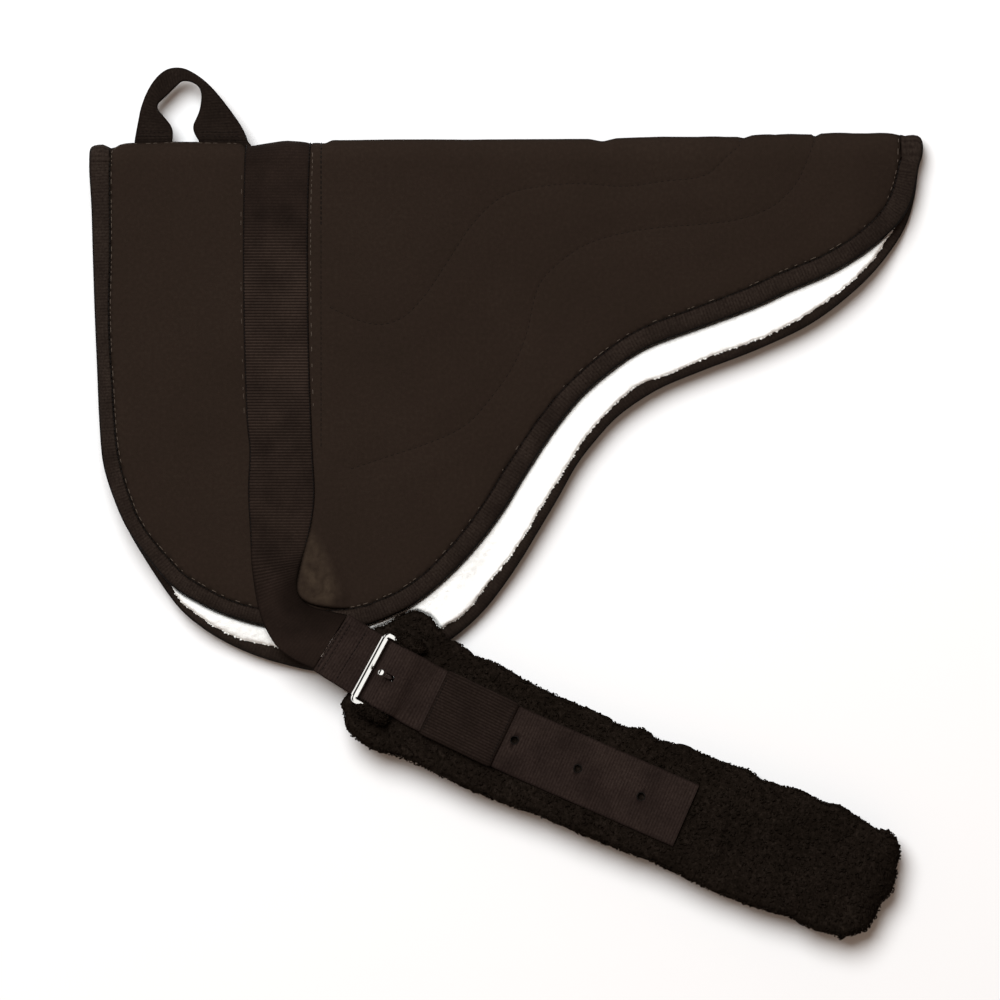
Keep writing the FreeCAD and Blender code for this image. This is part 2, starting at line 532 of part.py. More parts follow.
def cut(label, base, tool):
    f = doc.addObject("Part::Cut", label)
    f.Label = label
    f.Base = base
    f.Tool = tool
    return f


core_near_level = 24.6
core_far_level = 2 * size("girth_fold_level") - core_near_level - size("core_thick")
sub_parts.append(cut("girth_near_fleece", near_sleeve, tunnel("near_tunnel", 60, core_near_level)))
sub_parts.append(core("girth_near_core", 60, core_near_level))

far_sleeve = body("girth_far_sleeve", GIRTH_ORIGIN, angle=GIRTH_ANGLE)
sk = sketch(far_sleeve, "girth_far_outline", "XY_Plane", [GIRTH_FAR])
pad(far_sleeve, sk, "girth_far_pad", "Sizes.girth_far_thick")
# The fleece is pressed thin round the buckle and under the keeper, and full at the fold end.
for tag, reach, depth in (("middle", 274, 4.0), ("keeper", 171, 8.3), ("buckle", 84, 11.5)):
    sk = sketch(far_sleeve, "press_" + tag, "XY_Plane", [[(20, -80), (reach, -80), (reach, 80), (20, 80)]])
    pocket(far_sleeve, sk, "press_cut_" + tag, "%g mm" % depth, upwards=True)
sub_parts.append(cut("girth_far_fleece", far_sleeve, tunnel("far_tunnel", 100, core_far_level)))
sub_parts.append(core("girth_far_core", 100, core_far_level))

# The fold: half rings round the girth's fold line, seen along the girth's width.
fold_at = along(GIRTH_ORIGIN, GIRTH_ANGLE, size("girth_fold_along"), 0)
r_core_in = core_near_level - size("girth_fold_level")
fold = body("girth_fold_fleece", along(GIRTH_ORIGIN, GIRTH_ANGLE, size("girth_fold_along"), 5.1),
            angle=GIRTH_ANGLE, level_alias="girth_fold_level")
sk = sketch(fold, "girth_fold_profile", "XZ_Plane", [half_ring(0.15, size("girth_fold_radius"))])
pad(fold, sk, "girth_fold_pad", "Sizes.girth_fold_width", symmetric=True)
sk = sketch(fold, "girth_fold_tunnel", "XZ_Plane", [half_ring(r_core_in, r_core_in + size("core_thick"))],
            lift=5.1)
pocket(fold, sk, "girth_fold_cut", "Sizes.core_width", symmetric=True)
sub_parts.append(fold)
fold_core = body("girth_fold_core", fold_at, angle=GIRTH_ANGLE, level_alias="girth_fold_level")
sk = sketch(fold_core, "girth_fold_core_profile", "XZ_Plane",
            [half_ring(r_core_in, r_core_in + size("core_thick"))])
pad(fold_core, sk, "girth_fold_core_pad", "Sizes.core_width", symmetric=True)
sub_parts.append(fold_core)

# ---------------------------------------------------------------- buckles

NEAR_BAR_U, NEAR_BAR_Z = 21.5, 35.0
NEAR_ROLLER_Z = 39.0
FAR_ROLLER_U, FAR_BAR_U, FAR_Z = 57.0, 78.5, 7.5


def chape(label, origin, angle, bar_u, bar_z, base_z, up):
    """The webbing loop round the buckle's inner bar, with a slot for the tongue.

    up is +1 where the buckle faces up and -1 where it faces down."""
    wall = 3.65

    def at(u, h):
        return (u, base_z + up * h)

    hb = up * (bar_z - base_z)
    pts = [at(bar_u + 30.5, 0), at(bar_u + 4.2, 0)]
    for deg in range(-80, -281, -20):
        a = math.radians(deg)
        pts.append(at(bar_u + wall * math.cos(a), hb + wall * math.sin(a)))
    pts += [at(bar_u + 9.5, 3.2), at(bar_u + 12.5, 3.2), at(bar_u + 12.5, 1.6), at(bar_u + 30.5, 1.6)]
    b = body(label, origin, angle=angle)
    s = sketch(b, label + "_profile", "XZ_Plane", [pts], [((bar_u, bar_z), "tongue_bore")])
    pad(b, s, label + "_pad", "Sizes.chape_width", symmetric=True)
    s = sketch(b, label + "_slot", "XZ_Plane",
               [[(bar_u - 5, bar_z - 8), (bar_u + 10.8, bar_z - 8), (bar_u + 10.8, bar_z + 8), (bar_u - 5, bar_z + 8)]])
    pocket(b, s, label + "_slot_cut", "Sizes.chape_slot", symmetric=True)
    return b


def wire_frame(label, placement, spacing_alias):
    """A rectangle of round wire: the outer bar at the origin, the inner bar one spacing along."""
    b = doc.addObject("PartDesign::Body", label)
    b.Label = label
    b.Placement = placement
    r_c = size("frame_corner")
    w = size("frame_inside") / 2.0 + size("wire_radius")
    d = size(spacing_alias)
    spine = b.newObject("Sketcher::SketchObject", label + "_path")
    plane = [f for f in b.Origin.OriginFeatures if f.Role == "XY_Plane"][0]
    spine.AttachmentSupport = [(plane, "")]
    spine.MapMode = "FlatFace"
    k = math.sqrt(0.5) * r_c

    def corner(cx, cy, start):
        circle = Part.Circle(Vector(cx, cy, 0), Vector(0, 0, 1), r_c)
        return Part.ArcOfCircle(circle, math.radians(start), math.radians(start + 90))

    geo = [
        Part.LineSegment(Vector(0, 0, 0), Vector(0, -w + r_c, 0)),
        corner(r_c, -w + r_c, 180),
        Part.LineSegment(Vector(r_c, -w, 0), Vector(d - r_c, -w, 0)),
        corner(d - r_c, -w + r_c, 270),
        Part.LineSegment(Vector(d, -w + r_c, 0), Vector(d, w - r_c, 0)),
        corner(d - r_c, w - r_c, 0),
        Part.LineSegment(Vector(d - r_c, w, 0), Vector(r_c, w, 0)),
        corner(r_c, w - r_c, 90),
        Part.LineSegment(Vector(0, w - r_c, 0), Vector(0, 0, 0)),
    ]
    spine.addGeometry(geo, False)
    prof = b.newObject("Sketcher::SketchObject", label + "_wire")
    plane = [f for f in b.Origin.OriginFeatures if f.Role == "XZ_Plane"][0]
    prof.AttachmentSupport = [(plane, "")]
    prof.MapMode = "FlatFace"
    g = prof.addGeometry(Part.Circle(Vector(0, 0, 0), Vector(0, 0, 1), size("wire_radius")), False)
    c = prof.addConstraint(Sketcher.Constraint("Radius", g, size("wire_radius")))
    prof.setExpression("Constraints[%d]" % c, "Sizes.wire_radius")
    pipe = b.newObject("PartDesign::AdditivePipe", label + "_pipe")
    pipe.Profile = prof
    pipe.Spine = (spine, [])
    spine.Visibility = False
    prof.Visibility = False
    return b


def roller(label, placement):
    b = doc.addObject("PartDesign::Body", label)
    b.Label = label
    b.Placement = placement
    s = sketch(b, label + "_profile", "XZ_Plane", (), [((0, 0), "roller_radius"), ((0, 0), "roller_bore")])
    pad(b, s, label + "_pad", "Sizes.roller_length", symmetric=True)
    return b


def tongue(label, placement):
    """A ring round the inner bar and a straight round-tipped stem along the local +X axis."""
    ring_outer = doc.addObject("Part::Cylinder", label + "_ring")
    ring_outer.setExpression("Radius", "Sizes.tongue_ring")
    ring_outer.setExpression("Height", "Sizes.tongue_ring_width")
    w = size("tongue_ring_width")
    ring_outer.Placement = Placement(Vector(0, w / 2.0, 0), Rotation(Vector(1, 0, 0), 90))
    stem = doc.addObject("Part::Cylinder", label + "_stem")
    stem.setExpression("Radius", "Sizes.tongue_radius")
    stem.setExpression("Height", "Sizes.tongue_length - Sizes.tongue_radius - 2.6")
    stem.Placement = Placement(Vector(2.6, 0, 0), Rotation(Vector(0, 1, 0), 90))
    tip = doc.addObject("Part::Sphere", label + "_tip")
    tip.setExpression("Radius", "Sizes.tongue_radius")
    tip.Placement = Placement(Vector(size("tongue_length") - size("tongue_radius"), 0, 0), Rotation())
    body_fuse = doc.addObject("Part::MultiFuse", label + "_blank")
    body_fuse.Shapes = [ring_outer, stem, tip]
    bore = doc.addObject("Part::Cylinder", label + "_bore")
    bore.setExpression("Radius", "Sizes.tongue_bore")
    bore.Height = 20
    bore.Placement = Placement(Vector(0, 10, 0), Rotation(Vector(1, 0, 0), 90))
    f = cut(label, body_fuse, bore)
    f.Placement = placement
    return f


def keeper(label, origin, angle, low_z):
    """A loop of webbing across the girth: a flat tube along it."""
    wall, gap, inside = size("keeper_wall"), size("keeper_gap"), size("keeper_inside")
    a = inside / 2.0
    b = body(label, origin, level=low_z, angle=angle)
    s = sketch(b, label + "_profile", "YZ_Plane", [
        [(-a - wall, 0), (a + wall, 0), (a + wall, gap + 2 * wall), (-a - wall, gap + 2 * wall)],
        [(-a, wall), (a, wall), (a, wall + gap), (-a, wall + gap)]])
    pad(b, s, label + "_pad", "Sizes.keeper_length", symmetric=True)
    return b


def turned(origin, angle, u, z, tilt=0.0):
    x, y = along(origin, angle, u, 0)
    return Placement(Vector(x, y, z), Rotation(Vector(0, 0, 1), angle).multiply(Rotation(Vector(0, 1, 0), tilt)))


# near buckle: the frame slopes down from the roller to the inner bar
tilt = math.degrees(math.asin((NEAR_ROLLER_Z - NEAR_BAR_Z) / size("bar_spacing_near")))
sub_parts.append(chape("near_chape", BUCKLE_ORIGIN, BUCKLE_ANGLE, NEAR_BAR_U, NEAR_BAR_Z,
                       size("girth_near_level") + size("girth_near_thick"), +1))
sub_parts.append(wire_frame("near_buckle_frame", turned(BUCKLE_ORIGIN, BUCKLE_ANGLE, 0, NEAR_ROLLER_Z, tilt),
                            "bar_spacing_near"))
sub_parts.append(roller("near_roller", turned(BUCKLE_ORIGIN, BUCKLE_ANGLE, 0, NEAR_ROLLER_Z)))
# the tongue leans back through the first hole, 54 degrees above the strap
sub_parts.append(tongue("near_tongue", turned(BUCKLE_ORIGIN, BUCKLE_ANGLE, NEAR_BAR_U, NEAR_BAR_Z, -(180 - 54))))
sub_parts.append(keeper("near_keeper", KEEPER_ORIGIN, KEEPER_ANGLE, 31.1))

# far buckle: lies flat under the far layer, facing down, with nothing in it
sub_parts.append(chape("far_chape", GIRTH_ORIGIN, GIRTH_ANGLE, FAR_BAR_U, FAR_Z, 8.3, -1))
sub_parts.append(wire_frame("far_buckle_frame", turned(GIRTH_ORIGIN, GIRTH_ANGLE, FAR_ROLLER_U, FAR_Z),
                            "bar_spacing_far"))
sub_parts.append(roller("far_roller", turned(GIRTH_ORIGIN, GIRTH_ANGLE, FAR_ROLLER_U, FAR_Z)))
rest = size("roller_radius") + size("tongue_radius") + 0.05
dip = math.degrees(math.asin(rest / size("bar_spacing_far")))
sub_parts.append(tongue("far_tongue", turned(GIRTH_ORIGIN, GIRTH_ANGLE, FAR_BAR_U, FAR_Z, 180 - dip)))
sub_parts.append(keeper("far_keeper", along(GIRTH_ORIGIN, GIRTH_ANGLE, 140, 0), GIRTH_ANGLE, 8.3 - 6.2))

# ---------------------------------------------------------------- check and write

doc.recompute()

problems = []
for obj in doc.Objects:
    bad = [s for s in obj.State if s in ("Invalid", "Error")]
    if bad:
        problems.append("%s is %s" % (obj.Name, bad))
low, high = Vector(1e9, 1e9, 1e9), Vector(-1e9, -1e9, -1e9)
for obj in sub_parts:
    shape = obj.Shape
    if shape.isNull() or not shape.isValid() or not shape.Solids:
        problems.append("%s has no valid shape" % obj.Label)
        continue
    box = shape.BoundBox
    low = Vector(min(low.x, box.XMin), min(low.y, box.YMin), min(low.z, box.ZMin))
    high = Vector(max(high.x, box.XMax), max(high.y, box.YMax), max(high.z, box.ZMax))
    print("%-22s solids %d  volume %9.1f  z %6.2f to %6.2f" % (
        obj.Label, len(shape.Solids), shape.Volume, box.ZMin, box.ZMax))
print("whole box", low, high)
if problems:
    raise RuntimeError("; ".join(problems))
for obj in sub_parts:
    obj.Shape.exportStep("parts/%s.step" % obj.Label)
print("wrote %d sub-parts" % len(sub_parts))
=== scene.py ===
"""Bareback riding pad, folded along its spine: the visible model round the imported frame.

Lengths in this file are millimetres until a mesh is made. X runs along the spine towards the
tail, Y across the folded pad towards the fold, Z up.
"""
import math

import bpy
import numpy as np
from mathutils import Vector, Matrix
from mathutils.geometry import delaunay_2d_cdt


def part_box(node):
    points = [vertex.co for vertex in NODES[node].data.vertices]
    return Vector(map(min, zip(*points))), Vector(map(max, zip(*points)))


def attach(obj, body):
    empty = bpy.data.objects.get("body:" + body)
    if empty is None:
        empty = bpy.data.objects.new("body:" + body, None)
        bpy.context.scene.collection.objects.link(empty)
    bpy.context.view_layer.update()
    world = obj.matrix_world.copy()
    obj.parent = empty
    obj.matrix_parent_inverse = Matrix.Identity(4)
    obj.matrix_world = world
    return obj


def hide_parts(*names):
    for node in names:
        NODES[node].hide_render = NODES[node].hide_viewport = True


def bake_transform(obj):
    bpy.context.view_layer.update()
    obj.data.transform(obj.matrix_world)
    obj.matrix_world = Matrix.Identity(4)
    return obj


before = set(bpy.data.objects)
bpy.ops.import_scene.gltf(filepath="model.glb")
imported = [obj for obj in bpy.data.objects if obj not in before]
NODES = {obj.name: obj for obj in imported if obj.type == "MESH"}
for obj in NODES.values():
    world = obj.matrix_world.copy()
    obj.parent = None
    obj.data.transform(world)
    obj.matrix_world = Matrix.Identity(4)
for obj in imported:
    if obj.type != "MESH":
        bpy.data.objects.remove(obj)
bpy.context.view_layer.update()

# ---------------------------------------------------------------- traced outlines, X and Y in mm
NEAR_EDGE = [
    (-312.3, 247.9), (-310.5, 218.6), (-309.7, 188.6), (-308.2, 140.6), (-306.4, 98.6), (-304.6, 57.4),
    (-301.8, 27.4), (-294.8, 4.1), (-283.7, -21.2), (-264.0, -48.4), (-249.3, -64.7), (-235.8, -73.2),
    (-211.9, -84.8), (-179.9, -94.1), (-154.9, -96.9), (-136.1, -96.6), (-117.4, -96.0), (-100.9, -92.4),
    (-85.9, -86.5), (-71.5, -79.4), (-45.1, -58.4), (-20.5, -32.2), (0.5, -3.4), (13.6, 18.5), (38.2, 55.7),
    (56.8, 78.4), (73.8, 93.5), (94.1, 108.4), (110.3, 117.0), (144.0, 129.2), (189.7, 146.4), (210.4, 156.2),
    (243.8, 170.7), (267.8, 185.2), (280.6, 195.0), (288.5, 201.8), (297.0, 211.0), (303.4, 222.5), (308.0, 238.3), (309.9, 253.5)]
FAR_EDGE = [
    (-312.2, 247.9), (-310.4, 218.6), (-309.7, 188.6), (-308.3, 140.6), (-306.5, 98.6), (-304.6, 57.4),
    (-301.8, 27.4), (-295.0, 4.0), (-284.1, -21.5), (-270.1, -45.2), (-256.7, -65.5), (-244.1, -81.7),
    (-227.7, -95.5), (-208.1, -107.4), (-182.7, -118.1), (-161.3, -124.1), (-145.0, -127.7), (-121.1, -129.4),
    (-94.9, -127.3), (-71.5, -119.7), (-53.4, -111.7), (-40.1, -103.4), (-24.3, -90.4), (-11.7, -76.9), (7.7, -50.1),
    (26.6, -19.1), (41.3, 5.8), (53.1, 26.9), (67.0, 45.0), (83.2, 62.6), (112.8, 82.8), (144.9, 96.6),
    (190.0, 114.0), (231.4, 134.3), (267.9, 163.3), (287.0, 185.1), (299.7, 205.0), (306.1, 223.9), (308.6, 238.2),
    (309.9, 253.5)]
CREST = [
    (-312.4, 264.2), (-305.6, 267.3), (-301.7, 267.2), (-298.7, 265.8), (-295.7, 264.5), (-293.4, 264.9),
    (-290.7, 266.4), (-288.4, 267.3), (-284.0, 268.0), (-278.6, 268.4), (-250.9, 269.4),
    (-198.6, 268.8), (-196.6, 267.2), (-194.6, 264.6), (-190.1, 263.6), (-183.4, 264.7), (-165.4, 267.6), (-154.9, 267.0),
    (-148.2, 266.4), (-146.4, 267.9), (-144.6, 268.9), (-138.4, 268.7), (-135.4, 268.2), (-130.1, 270.6), (-37.1, 270.9), (32.6, 271.3), (62.6, 271.6),
    (72.4, 269.6), (82.1, 272.1), (117.4, 273.2), (163.9, 272.8), (175.1, 273.5), (178.1, 272.2), (184.1, 274.0),
    (197.6, 274.4), (220.1, 275.0), (229.1, 275.6), (232.1, 274.2), (235.9, 275.9), (242.6, 275.8), (270.0, 275.4), (296.6, 275.3),
    (298.9, 274.1), (302.0, 274.9), (306.0, 275.7), (312.0, 273.1)]
STRAP_CREST = [
    (-196.9, 267.7), (-190.1, 266.1), (-183.4, 267.2), (-165.4, 270.1), (-154.9, 269.5), (-146.6, 268.9)]
QUILT_A = [
    (-132.4, 145.1), (-118.9, 138.4), (-96.4, 131.6), (-78.4, 136.1), (-60.4, 154.1), (-42.4, 181.1), (-24.4,
    208.1), (-1.9, 228.4), (25.1, 235.1), (56.6, 237.4), (88.1, 235.1), (115.1, 238.9), (151.1, 244.1), (164.6,
    257.6), (175.1, 266.6)]
QUILT_B = [
    (-116.6, 23.6), (-82.9, 34.9), (-55.9, 43.9), (-28.9, 57.4), (-10.9, 77.6), (4.9, 100.1), (16.1, 127.1),
    (20.6, 149.6), (25.1, 163.1), (43.1, 181.1), (61.1, 192.4), (92.6, 201.4), (115.1, 204.4), (151.1, 207.4),
    (173.6, 210.4), (200.6, 220.9), (218.6, 239.6), (227.6, 262.1), (230.6, 268.9)]
STRAP_LEFT = [
    (-195.8, 254.6), (-196.6, 226.1), (-196.9, 188.6), (-196.1, 116.6), (-193.9, 57.4), (-191.9, 38.6), (-193.1,
    8.6), (-191.6, -21.4), (-191, -34.9)]
STRAP_RIGHT = [
    (-146.6, 254.6), (-147.7, 226.1), (-148.1, 188.6), (-147.1, 104.6), (-144.7, 38.6), (-143.1, 2.6), (-145.5,
    -16.9), (-149.6, -34.9)]
TURN_LEFT = [
    (-191, -34.9), (-190.1, -49.9), (-185.3, -79.9), (-180, -94.9), (-170.4, -110.2), (-157.9, -119.2), (-144.4,
    -125.6)]
TURN_RIGHT = [
    (-149.6, -34.9), (-154.9, -51.4), (-156.1, -64.9), (-152.6, -73.9), (-144.4, -79.5), (-132.4, -82.5),
    (-118.9, -85.1)]
HANDLE_OUT = [
    (-276.2, 264.9), (-276.0, 268.6), (-275.4, 287.2), (-271.1, 302.5), (-266.9, 310.7), (-260.0, 319.4),
    (-253.1, 324.0), (-246.9, 325.1), (-238.4, 323.5), (-228.7, 317.5), (-218.5, 308.3), (-209.3, 297.0),
    (-200.9, 285.3), (-195.0, 275.7), (-195.8, 268.2), (-195.1, 264.8)]
HANDLE_IN = [
    (-249.4, 265.1), (-249.4, 269.4), (-248.3, 276.4), (-250.3, 282.0), (-256.9, 289.2), (-258.5, 298.1),
    (-255.1, 301.4), (-248.9, 307.4), (-244.1, 312.8), (-239.2, 313.4), (-233.3, 311.6), (-230.1, 310.1),
    (-228.3, 303.1), (-229.3, 293.8), (-234.7, 282.0), (-234.2, 274.8), (-231.1, 269.2), (-229.8, 264.8)]
GIRTH = [
    (-76.5, -84.5), (-66.5, -83.3), (-57.1, -87.2), (-52.8, -91.8), (-51.1, -94.7), (-42.1, -104.1), (-33.9, -107.3),
    (-22.4, -116.8), (-10.5, -120.7), (1.4, -126.7), (16.9, -135.9), (30.0, -142.3), (51.0, -152.0), (69.4, -159.5),
    (88.6, -169.2), (102.6, -171.1), (113.2, -178.8), (129.3, -183.0), (145.0, -188.3), (163.5, -196.5),
    (182.8, -202.8), (189.6, -208.3), (206.3, -213.5), (221.3, -217.2), (238.6, -226.2), (251.2, -229.7),
    (261.7, -236.3), (282.8, -248.9), (293.7, -253.5), (295.5, -268.9), (290.1, -271.4), (291.2, -280.1),
    (292.0, -294.4), (281.3, -302.5), (278.5, -312.2), (270.3, -323.2), (257.0, -326.2), (241.1, -323.9),
    (221.7, -317.3), (212.0, -311.4), (194.6, -307.0), (145.0, -287.7), (129.3, -279.7), (109.9, -270.5),
    (76.0, -257.8), (48.2, -246.0), (29.0, -237.4), (11.8, -231.2), (-4.8, -225.0), (-27.9, -216.0), (-41.4, -209.0),
    (-60.2, -200.2), (-79.7, -191.8), (-98.4, -186.5), (-111.2, -179.1), (-118.5, -171.1), (-121.7, -159.2),
    (-122.8, -150.7), (-115.4, -140.4), (-112.0, -124.6), (-107.6, -106.6), (-99.7, -97.6), (-85.9, -91.0)]
PLEAT = [
    (-145.1, -2.6), (-146.2, -16.9), (-150.4, -32.6), (-154.9, -51.4), (-157, -64.9), (-155.2, -71.6), (-148.9,
    -76.5), (-138.4, -79.5), (-126.4, -80.8), (-115.9, -80.2), (-111.4, -71.6), (-115.9, -55.1), (-124.9,
    -32.6), (-135.4, -13.9)]
FLEECE_EDGE = [
    (-250.3, -66.5), (-242.7, -76.3), (-230.6, -85.8), (-217.8, -94.6), (-200.0, -103.1), (-188.2, -106.1),
    (-170.3, -110.0), (-145.1, -114.9), (-117.4, -117.7), (-90.7, -114.6), (-67.8, -106.3), (-48.3, -95.7),
    (-29.6, -82.7), (-13.6, -62.5), (7.4, -36.3), (30.0, 1.1), (49.7, 32.2), (58.5, 46.0), (72.5, 62.6),
    (98.3, 85.9), (119.6, 94.0), (156.8, 109.5), (190.4, 121.4), (221.4, 137.2), (253.0, 159.1), (277.1, 183.0),
    (284.1, 194.3), (288.2, 199.4), (293.0, 204.2)]

HANDLE_OUT_FINE = [
    (-278.9, 265.0), (-278.8, 267.0), (-278.6, 268.9), (-278.4, 270.8), (-278.0, 272.8), (-277.7, 274.7),
    (-277.3, 276.6), (-277.0, 278.6), (-276.6, 280.5), (-276.2, 282.5), (-275.9, 284.4), (-275.5, 286.3),
    (-275.1, 288.3), (-274.8, 290.2), (-274.4, 292.1), (-273.9, 294.0), (-273.4, 295.9), (-272.8, 297.7),
    (-272.1, 299.6), (-271.5, 301.4), (-270.8, 303.2), (-270.0, 305.0), (-269.1, 306.8), (-268.2, 308.5),
    (-267.3, 310.2), (-266.3, 311.9), (-265.2, 313.5), (-264.1, 315.1), (-262.8, 316.6), (-261.5, 318.1),
    (-260.1, 319.5), (-258.6, 320.8), (-257.0, 322.0), (-255.4, 323.0), (-253.6, 323.8), (-251.7, 324.4),
    (-249.8, 324.8), (-247.9, 325.0), (-245.9, 325.0), (-244.0, 324.8), (-242.0, 324.5), (-240.2, 323.9),
    (-238.4, 323.2), (-236.7, 322.3), (-235.0, 321.4), (-233.3, 320.4), (-231.6, 319.3), (-230.1, 318.2),
    (-228.5, 317.1), (-227.0, 315.9), (-225.5, 314.6), (-224.0, 313.3), (-222.6, 312.0), (-221.2, 310.6),
    (-219.9, 309.2), (-218.6, 307.8), (-217.3, 306.3), (-216.0, 304.8), (-214.8, 303.3), (-213.5, 301.8),
    (-212.3, 300.3), (-211.1, 298.8), (-209.9, 297.2), (-208.8, 295.7), (-207.6, 294.1), (-206.4, 292.6),
    (-205.3, 291.0), (-204.2, 289.4), (-203.0, 287.8), (-201.9, 286.2), (-200.8, 284.6), (-199.8, 283.0),
    (-198.7, 281.3), (-197.7, 279.7), (-196.8, 278.0), (-196.0, 276.3), (-195.2, 274.5), (-194.5, 272.6),
    (-193.9, 270.7), (-193.3, 268.9), (-192.0, 267.5), (-190.0, 266.4)]

HANDLE_IN_FINE = [
    (-250.3, 265.1), (-250.3, 267.1), (-250.2, 269.0), (-250.0, 271.0), (-249.8, 272.9), (-249.7, 274.8),
    (-249.8, 276.6), (-250.1, 278.5), (-250.7, 280.2), (-251.6, 281.9), (-252.6, 283.4), (-253.9, 284.9),
    (-255.1, 286.4), (-256.4, 287.9), (-257.7, 289.6), (-259.3, 291.2), (-260.8, 293.2), (-261.4, 295.5),
    (-260.7, 297.6), (-259.3, 299.2), (-257.8, 300.6), (-256.2, 301.9), (-254.6, 303.3), (-253.0, 304.8),
    (-251.5, 306.6), (-250.1, 307.9), (-248.7, 309.3), (-247.2, 310.6), (-245.8, 312.0), (-244.3, 313.5),
    (-242.5, 314.4), (-240.4, 314.6), (-238.3, 314.4), (-236.3, 314.0), (-234.5, 313.2), (-232.7, 312.3),
    (-231.1, 311.1), (-229.9, 309.5), (-229.1, 307.7), (-228.6, 305.8), (-228.4, 303.9), (-228.4, 301.9),
    (-228.6, 300.0), (-228.8, 298.0), (-229.1, 296.1), (-229.5, 294.2), (-230.0, 292.3), (-230.6, 290.5),
    (-231.4, 288.7), (-232.2, 286.9), (-233.0, 285.1), (-233.9, 283.4), (-234.5, 281.5), (-234.6, 279.6),
    (-234.4, 277.7), (-233.8, 275.9), (-233.0, 274.1), (-232.0, 272.5), (-230.9, 270.8), (-230.0, 269.1),
    (-229.3, 267.2), (-228.7, 265.3)]

TAPE_WIDTH = [
    (0, 16.7), (12, 15.8), (36, 14.4), (60, 14.1), (84, 13.1), (108, 11.4), (132, 11.1), (156, 11.3), (180, 11.9),
    (204, 12.0), (228, 13.2), (252, 12.4), (276, 11.7), (300, 11.7), (324, 13.2), (348, 13.0), (372, 12.0),
    (396, 12.1), (420, 13.1), (444, 14.6), (468, 15.4), (492, 15.2), (516, 15.0), (540, 14.0), (564, 14.3),
    (588, 15.0), (612, 15.4), (636, 15.7), (660, 15.2), (684, 14.9), (708, 14.7), (732, 14.0), (756, 14.4),
    (780, 14.7), (804, 15.3), (828, 15.5), (852, 15.5), (876, 15.7), (900, 15.5), (924, 14.9), (948, 14.8),
    (972, 14.7), (996, 16.2), (1020, 17.2), (1044, 15.9), (1052, 15.0)]

YC, ZC, R = 253.9, 18.8, 14.5        # fold line, its height, and the outside radius of the shell
S_MID = YC + math.pi * R / 2.0       # the crest, measured along the cloth
S1 = YC + math.pi * R                # where the far half starts, measured along the cloth
SEAM_X = -169.1                      # seam between the front and rear panels, under the strap


# ---------------------------------------------------------------- curves and fields
def resample(c, step=None, n=None):
    c = np.asarray(c, float)
    d = np.r_[0, np.cumsum(np.linalg.norm(np.diff(c, axis=0), axis=1))]
    n = n or max(2, int(round(d[-1] / step)) + 1)
    s = np.linspace(0, d[-1], n)
    return np.stack([np.interp(s, d, c[:, k]) for k in range(c.shape[1])], 1)


def smooth_line(pts, step=1.0, closed=False, sigma=0.0):
    """A centripetal spline through pts, at an even step."""
    p = np.asarray(pts, float)
    if closed:
        ext = np.vstack([p[-1], p, p[0], p[1]])
    else:
        ext = np.vstack([2 * p[0] - p[1], p, 2 * p[-1] - p[-2]])
    out = []
    for i in range(1, len(ext) - 2):
        p0, p1, p2, p3 = ext[i - 1:i + 3]
        t = [0.0]
        for a, b in ((p0, p1), (p1, p2), (p2, p3)):
            t.append(t[-1] + max(np.linalg.norm(b - a), 1e-6) ** 0.5)
        u = np.linspace(t[1], t[2], 14, endpoint=False)[:, None]
        a1 = (t[1] - u) / (t[1] - t[0]) * p0 + (u - t[0]) / (t[1] - t[0]) * p1
        a2 = (t[2] - u) / (t[2] - t[1]) * p1 + (u - t[1]) / (t[2] - t[1]) * p2
        a3 = (t[3] - u) / (t[3] - t[2]) * p2 + (u - t[2]) / (t[3] - t[2]) * p3
        b1 = (t[2] - u) / (t[2] - t[0]) * a1 + (u - t[0]) / (t[2] - t[0]) * a2
        b2 = (t[3] - u) / (t[3] - t[1]) * a2 + (u - t[1]) / (t[3] - t[1]) * a3
        out.append((t[2] - u) / (t[2] - t[1]) * b1 + (u - t[1]) / (t[2] - t[1]) * b2)
    out.append((p[0] if closed else p[-1])[None])
    c = resample(np.vstack(out), step)
    if sigma > 0:
        k = int(3 * sigma / step)
        w = np.exp(-0.5 * (np.arange(-k, k + 1) * step / sigma) ** 2)
        w /= w.sum()
        if closed:
            base = c[:-1]
            pad = np.vstack([base[-k:], base, base[:k]])
            c = np.stack([np.convolve(pad[:, j], w, "valid") for j in range(c.shape[1])], 1)
            c = np.vstack([c, c[:1]])
        else:
            pad = np.vstack([2 * c[0] - c[k:0:-1], c, 2 * c[-1] - c[-2:-k - 2:-1]])
            c = np.stack([np.convolve(pad[:, j], w, "valid") for j in range(c.shape[1])], 1)
    return c


def tangents(c, closed=False):
    if closed:
        t = np.roll(c, -1, 0) - np.roll(c, 1, 0)
    else:
        t = np.gradient(c, axis=0)
    return t / np.maximum(np.linalg.norm(t, axis=1, keepdims=True), 1e-9)


def left_of(t):
    return np.stack([-t[:, 1], t[:, 0]], 1)


def arc_of(c):
    return np.r_[0, np.cumsum(np.linalg.norm(np.diff(c, axis=0), axis=1))]


